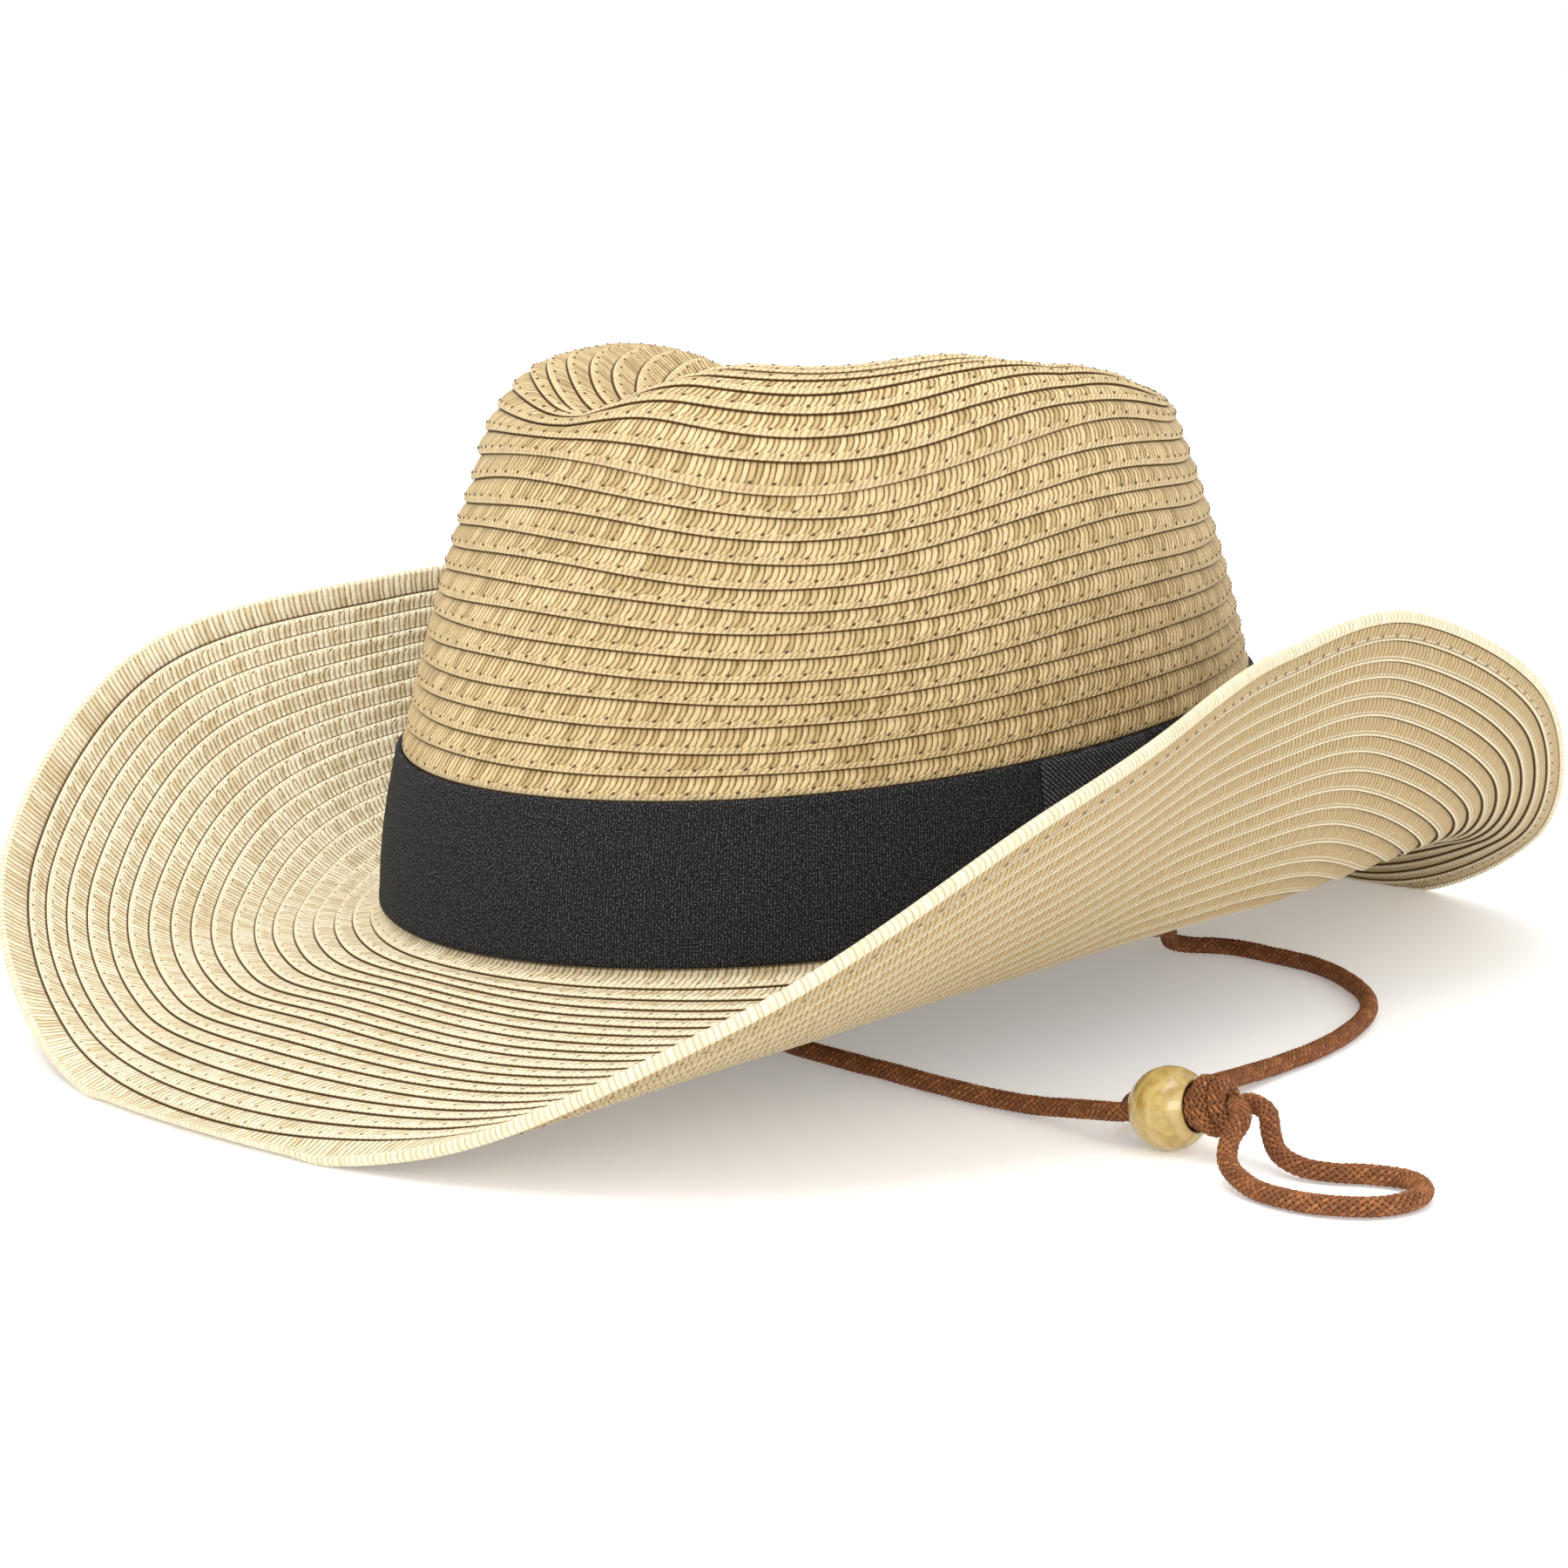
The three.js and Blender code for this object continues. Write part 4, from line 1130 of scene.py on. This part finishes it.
crown_mesh.materials.append(straw_material(
    "crown_straw", pale=(0.7, 0.54, 0.3), deep=(0.35, 0.24, 0.1), shade_and_patch_colour=(0.34, 0.225, 0.09),
    gap_shade_colour=(0.085, 0.045, 0.012), arc=0.9, gap_shade_strength=0.95, lip_highlight_strength=0.3))
brim_mesh.materials.append(straw_material(
    "brim_straw", pale=(0.82, 0.73, 0.53), deep=(0.57, 0.46, 0.27), shade_and_patch_colour=(0.42, 0.3, 0.14),
    gap_shade_colour=(0.17, 0.105, 0.04), arc=0.5, gap_shade_strength=0.75, lip_highlight_strength=0.85))

# %% [markdown]
# ## Stitches
# A chain of small stitches holds each row to the next, one every 5 mm and a little above the lip. Only
# short dark bars of thread show. The seam points are worked out on the surface, with the directions
# along the row and off the straw, and Geometry Nodes set one bar on each point.

# %% Geometry tree: one stitch on every point
def stitch_tree():
    tree, given, out = new_group("stitch_row", "GeometryNodeTree", [
        ("Seam Points", GEOMETRY, None),
        ("Stitch Length", FLOAT, 0.0013),
        ("Thread Width", FLOAT, 0.0006),
        ("Slant", FLOAT, 0.5),
        ("Thread Material", MATERIAL, None),
    ], [("Mesh", GEOMETRY)])
    ball = add_node(tree, "GeometryNodeMeshUVSphere", {"Segments": 5, "Rings": 3, "Radius": 0.5})
    shape = vector_of(tree, given["Stitch Length"], given["Thread Width"], given["Thread Width"])
    bar = add_node(tree, "GeometryNodeTransform", {"Geometry": ball.outputs[0], "Scale": shape})
    slanted = add_node(tree, "GeometryNodeTransform", {
        "Geometry": bar.outputs[0], "Rotation": vector_of(tree, 0.0, 0.0, given["Slant"])})

    def read(name):
        return add_node(tree, "GeometryNodeInputNamedAttribute", {"Name": name},
                        data_type="FLOAT_VECTOR").outputs[0]

    upright = add_node(tree, "FunctionNodeAlignRotationToVector", {"Vector": read("off_straw")}, axis="Z")
    aligned = add_node(tree, "FunctionNodeAlignRotationToVector", {
        "Rotation": upright.outputs[0], "Vector": read("row_way")}, axis="X", pivot_axis="Z")
    placed = add_node(tree, "GeometryNodeInstanceOnPoints", {
        "Points": given["Seam Points"], "Instance": slanted.outputs[0], "Rotation": aligned.outputs[0]})
    end_tree(tree, placed.outputs[0], given["Thread Material"], out)
    return tree


stitch_rows = stitch_tree()
print("stitch tree:", len(stitch_rows.nodes), "nodes")

# %% Material: thread
def thread_material(name, dark, light):
    material, tree, shader = principled(name, Roughness=0.8)
    twist = noise(tree, object_place(tree), 3000, 2)
    tree.links.new(blend_colours(tree, twist, dark, light), shader.inputs["Base Color"])
    bump(tree, shader, twist, 0.0001)
    return material


crown_thread = thread_material("crown_thread", (0.035, 0.017, 0.005), (0.12, 0.07, 0.025))
brim_thread = thread_material("brim_thread", (0.13, 0.08, 0.03), (0.3, 0.2, 0.09))
print("threads:", crown_thread.name, brim_thread.name)

# %% Crown stitches
SEAM_SHARE, STITCH_HEIGHT = 0.27, 0.26


def stitch_turns(run):
    count = int(round(run[-1] / STITCH_PITCH))
    places = (np.arange(count) + 0.5) * STITCH_PITCH
    return np.interp(places, run, np.append(turns, math.pi))


def seam_mesh(name, stitches):
    """Points with two directions each. A seam's stitches are places, ways along it and ways off it."""
    places, ways, offs = (np.vstack(column) for column in zip(*stitches))
    mesh = bpy.data.meshes.new(name)
    mesh.from_pydata((places * MM).tolist(), [], [])
    for attribute_name, values in (("row_way", ways), ("off_straw", offs)):
        attribute = mesh.attributes.new(attribute_name, "FLOAT_VECTOR", "POINT")
        attribute.data.foreach_set("vector", values.astype(np.float32).ravel())
    return mesh


stitches = []
for k, run in crown_seams[:-1]:
    turn = stitch_turns(run)
    row = np.full(len(turn), float(crown_row(k + SEAM_SHARE)))
    normal = facing(crown_surface, turn, row)
    stitches.append((crown_surface(turn, row) + STITCH_HEIGHT * normal,
                     along_row(crown_surface, turn, row), normal))
crown_stitches = grown("crown_stitches", seam_mesh("crown_seams", stitches), stitch_rows, {
    "Thread Material": crown_thread, "Stitch Length": 0.0012, "Thread Width": 0.0007})

# %% Brim stitches
# on each side: share of the row's width, the side of the straw, and height over it
SEAM_PLACES = {"upper": (0.76, 1, 0.2), "under": (0.3, -1, 0.24)}
# a stitch that would touch the table is left out
STITCH_CLEARANCE = 0.6

stitches = []
for side, k, run in brim_seams:
    across, sign, height = SEAM_PLACES[side]
    turn = stitch_turns(run)
    even = even_places(runs, (k + across) * ROW_SHARE)
    place = np.interp(turn, np.append(turns, math.pi), np.append(even, even[0]))
    point = brim_section(turn, place)
    normal = -facing(brim_section, turn, place)
    point[:, 2] = np.maximum(point[:, 2], STRAW_THICKNESS)
    if side == "under":
        point = point - STRAW_THICKNESS * normal
    point = point + sign * height * normal
    clear = point[:, 2] > STITCH_CLEARANCE
    stitches.append((point[clear], along_row(brim_section, turn, place)[clear], (sign * normal)[clear]))
brim_stitches = grown("brim_stitches", seam_mesh("brim_seams", stitches), stitch_rows, {
    "Thread Material": brim_thread, "Thread Width": 0.00055})

# %% [markdown]
# ## The ribbon
# A dark ribbon, 36 mm high, lies round the foot of the crown. It is ribbed from edge to edge, its
# edges are a little thicker where the weft turns, and it lies with slight waves. The free end is lapped
# over it on the wearer's left and sewn flat.

# %% Ribbon band
RIBBON_LIFT, RIBBON_THICKNESS, RIBBON_COLUMNS = 3, 1.0, 1200
# how far the ribbon's middle stands out, and its lower and upper edge as rows of the crown
RIBBON_BELLY, RIBBON_TOP_ROW = 0.132, -0.004
RIBBON_FOOT_ROW = (RIBBON_LIFT - COLLAR_HEIGHT) / (BAND_HEIGHT - COLLAR_HEIGHT) - 1
# up the ribbon: share of its height, extra thickness
RIBBON_LEVELS = [(0.0, -0.25), (0.012, 0.1), (0.045, 0.12), (0.07, 0.0), (0.3, 0.0), (0.5, 0.0),
                 (0.7, 0.0), (0.93, 0.0), (0.955, 0.12), (0.988, 0.1), (1.0, -0.25)]


def ribbon_ring(turn, share, distance):
    """Points on the ribbon at a share of its height and a distance off the crown."""
    row = mix(RIBBON_FOOT_ROW, RIBBON_TOP_ROW, share)
    held = max(row, -1.0)
    rows = np.full(len(turn), held)
    outward = level_out(facing(crown_surface, turn, rows))
    point = crown_surface(turn, rows) + outward * np.reshape(distance, (-1, 1))
    point[:, 2] += (row - held) * (BAND_HEIGHT - COLLAR_HEIGHT)
    return point


def ribbon_run(turn):
    ring = ribbon_ring(turn, 0.5, np.zeros(len(turn)))
    return np.concatenate([[0], np.cumsum(np.linalg.norm(np.diff(ring, axis=0), axis=-1))])


band_turns = np.linspace(-math.pi, math.pi, RIBBON_COLUMNS, endpoint=False)
waves = 0.16 * np.sin(5 * band_turns + 1.0) + 0.1 * np.sin(11 * band_turns + 2.2)
rings = []
for share, extra in RIBBON_LEVELS:
    belly = RIBBON_BELLY * math.sin(math.pi * share) * (1 + waves)
    rings.append((share, ribbon_ring(band_turns, share, TOUCH_GAP + RIBBON_THICKNESS + extra + belly)))
for share in (1.0, 0.5, 0.0):
    rings.append((share, ribbon_ring(band_turns, share, np.full(RIBBON_COLUMNS, TOUCH_GAP))))
band_shell = Shell(RIBBON_COLUMNS)
run = ribbon_run(np.append(band_turns, math.pi))
indices = [band_shell.ring(points) for _, points in rings]
for a, b in zip(indices, indices[1:] + indices[:1]):
    band_shell.strip(a, b, run, rings[a][0] * BAND_HEIGHT, rings[b][0] * BAND_HEIGHT)
band_mesh = band_shell.mesh("hat_band_ribbon")
band = new_piece("hat_band_ribbon", band_mesh)

# %% Lapped end
LAP_WIDTH, LAP_ANGLE, LAP_COLUMNS = 30, math.radians(85), 41
# share of the lap's thickness at its two upright edges, and the columns in which it rises to the full
LAP_EDGE, LAP_RISE = 0.35, 1.5


def patch_mesh(name, grid, u_values, v_values):
    """A closed sheet: grid[row][column] is the face, and the last rows lead round to the back."""
    rows, columns = grid.shape[:2]
    i, k = np.meshgrid(np.arange(columns - 1), np.arange(rows), indexing="xy")
    n = (k + 1) % rows
    quads = np.stack([k * columns + i, k * columns + i + 1, n * columns + i + 1, n * columns + i], -1)
    caps = []
    for k in range(rows // 2 - 1):
        a, b, c, d = k, k + 1, rows - 2 - k, rows - 1 - k
        caps.append((d * columns, c * columns, b * columns, a * columns)[::-1])
        caps.append(tuple(index * columns + columns - 1 for index in (a, b, c, d))[::-1])
    mesh = bpy.data.meshes.new(name)
    mesh.from_pydata((grid.reshape(-1, 3) * MM).tolist(), [], quads.reshape(-1, 4).tolist() + caps)
    layer = mesh.uv_layers.new(name="braid")
    vertex = np.zeros(len(mesh.loops), int)
    mesh.loops.foreach_get("vertex_index", vertex)
    uv = np.stack([np.tile(u_values, rows)[vertex], np.repeat(v_values, columns)[vertex]], -1)
    layer.data.foreach_set("uv", uv.astype(np.float32).ravel())
    face_outwards(mesh)
    mesh.shade_smooth()
    return mesh


foot_radius = oval_radius(np.array(LAP_ANGLE), OVAL_HALF_LENGTH, OVAL_HALF_LENGTH, OVAL_HALF_WIDTH)
lap_turns = LAP_ANGLE + np.linspace(-1, 1, LAP_COLUMNS) * (LAP_WIDTH / 2 / foot_radius)
column = np.arange(LAP_COLUMNS)
fullness = np.clip(np.minimum(column, LAP_COLUMNS - 1 - column) / LAP_RISE, 0, 1)
fullness = LAP_EDGE + (1 - LAP_EDGE) * fullness
start = 2 * TOUCH_GAP + RIBBON_THICKNESS
front = [ribbon_ring(lap_turns, share, start + (RIBBON_THICKNESS + extra * 0.6) * fullness)
         for share, extra in RIBBON_LEVELS]
back = [ribbon_ring(lap_turns, share, np.full(LAP_COLUMNS, start))
        for share, _ in reversed(RIBBON_LEVELS)]
shares = [share for share, _ in RIBBON_LEVELS + RIBBON_LEVELS[::-1]]
lap_mesh = patch_mesh("band_lap_ribbon", np.array(front + back), ribbon_run(lap_turns),
                      np.array(shares) * BAND_HEIGHT)
lap = new_piece("band_lap_ribbon", lap_mesh)
print("lap faces:", len(lap_mesh.polygons))

# %% [markdown]
# The ribbon is near black, with fine ribs and small pale flecks where the yarn catches the light. On
# the lapped end the ribs run slantwise.

# %% Material: ribbon
WEFT_PITCH = 0.55


def ribbon_material(name, slant, dark, pale, rib_pitch, rib_share):
    material, tree, shader = principled(name, Roughness=0.85, Specular_IOR_Level=0.08)
    ribbon_map = add_node(tree, "ShaderNodeUVMap", uv_map="braid").outputs[0]
    split = add_node(tree, "ShaderNodeSeparateXYZ", {0: ribbon_map})
    along, up = split.outputs[0], split.outputs[1]
    phase = plus(tree, along, times(tree, up, slant))
    rib = math_node(tree, "SINE", times(tree, phase, math.tau / rib_pitch))
    weft = math_node(tree, "SINE", times(tree, up, math.tau / WEFT_PITCH))
    fleck = noise(tree, ribbon_map, 2.4, 2, flat=True, Roughness=0.75)
    shown = smooth_step(tree, plus(tree, fleck, times(tree, rib, rib_share)), 0.52, 0.7)
    tree.links.new(blend_colours(tree, shown, dark, pale), shader.inputs["Base Color"])
    tree.links.new(smooth_step(tree, fleck, 0.3, 0.7, 0.82, 0.6), shader.inputs["Roughness"])
    height = plus(tree, times(tree, rib, 0.5), plus(tree, times(tree, weft, 0.2), fleck))
    bump(tree, shader, height, 0.00016)
    print("material", name)
    return material


band_mesh.materials.append(ribbon_material(
    "ribbon", slant=0.0, dark=(0.009, 0.009, 0.01), pale=(0.1, 0.1, 0.104), rib_pitch=0.62,
    rib_share=0.06))
lap_mesh.materials.append(ribbon_material(
    "ribbon_lap", slant=0.9, dark=(0.014, 0.014, 0.016), pale=(0.11, 0.11, 0.118), rib_pitch=1.15,
    rib_share=0.16))

# %% [markdown]
# ## Table and light
# A white table that glows a little by itself, as on a light table for catalogue pictures, one wide
# soft box overhead, a lower one on the camera's side and an even white surround.

# %% Stage
TABLE_HALF, WHITE = 12, (1, 1, 1, 1)


def plane(name, half, height):
    mesh = bpy.data.meshes.new(name)
    corners = [(-half, -half, height), (half, -half, height), (half, half, height), (-half, half, height)]
    mesh.from_pydata(corners, [], [(0, 1, 2, 3)])
    return new_piece(name, mesh)


table = plane("table", TABLE_HALF, 0)
table_finish, _, _ = principled(
    "table_top", Roughness=0.8, Specular_IOR_Level=0.1, Emission_Strength=0.22,
    Base_Color=(0.95, 0.95, 0.95, 1), Emission_Color=WHITE)
table.data.materials.append(table_finish)


def soft_box(name, place, target, size, power):
    light = bpy.data.lights.new(name, "AREA")
    light.shape = "RECTANGLE"
    light.size, light.size_y = size
    light.energy = power
    aim(bpy.data.objects.new(name, light), place, Vector(target) - Vector(place))


soft_box("overhead", (-0.1, -0.3, 1.5), (0, 0, 0.05), (1.3, 1.3), 18)
soft_box("camera_side", (1.35, -0.9, 0.55), (0.1, -0.02, 0.02), (1.2, 0.7), 9)
world = bpy.data.worlds.new("surround")
world.use_nodes = True
world.node_tree.nodes["Background"].inputs["Color"].default_value = WHITE
world.node_tree.nodes["Background"].inputs["Strength"].default_value = 1.0
bpy.context.scene.world = world
# plain colours, as in a catalogue picture, with no film curve
bpy.context.scene.view_settings.view_transform = "Standard"
print("lights:", len(bpy.data.lights))

# %% [markdown]
# ## Hand the pieces to the frame
# Every piece rides on the one body, and each piece that stands for a solid hides that solid.

# %% Ride and replace
SLOTS = [
    (crown, "crown", "straw_crown"), (brim, "brim", "straw_brim"),
    (crown_stitches, None, "straw_crown"), (brim_stitches, None, "straw_brim"),
    (band, "hat_band", "ribbon"), (lap, "band_lap", "ribbon"),
    (bead, "bead", "bead"), (knot, "cord_knot", "braided_cord"),
]
SLOTS += [(cord, cord_name, "braided_cord") for cord_name, cord in cords.items()]
for piece, node, slot in SLOTS:
    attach(piece, "root")
    if node:
        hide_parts(node)
print("pieces:", len(SLOTS))


print("cords declared:", len(cords))
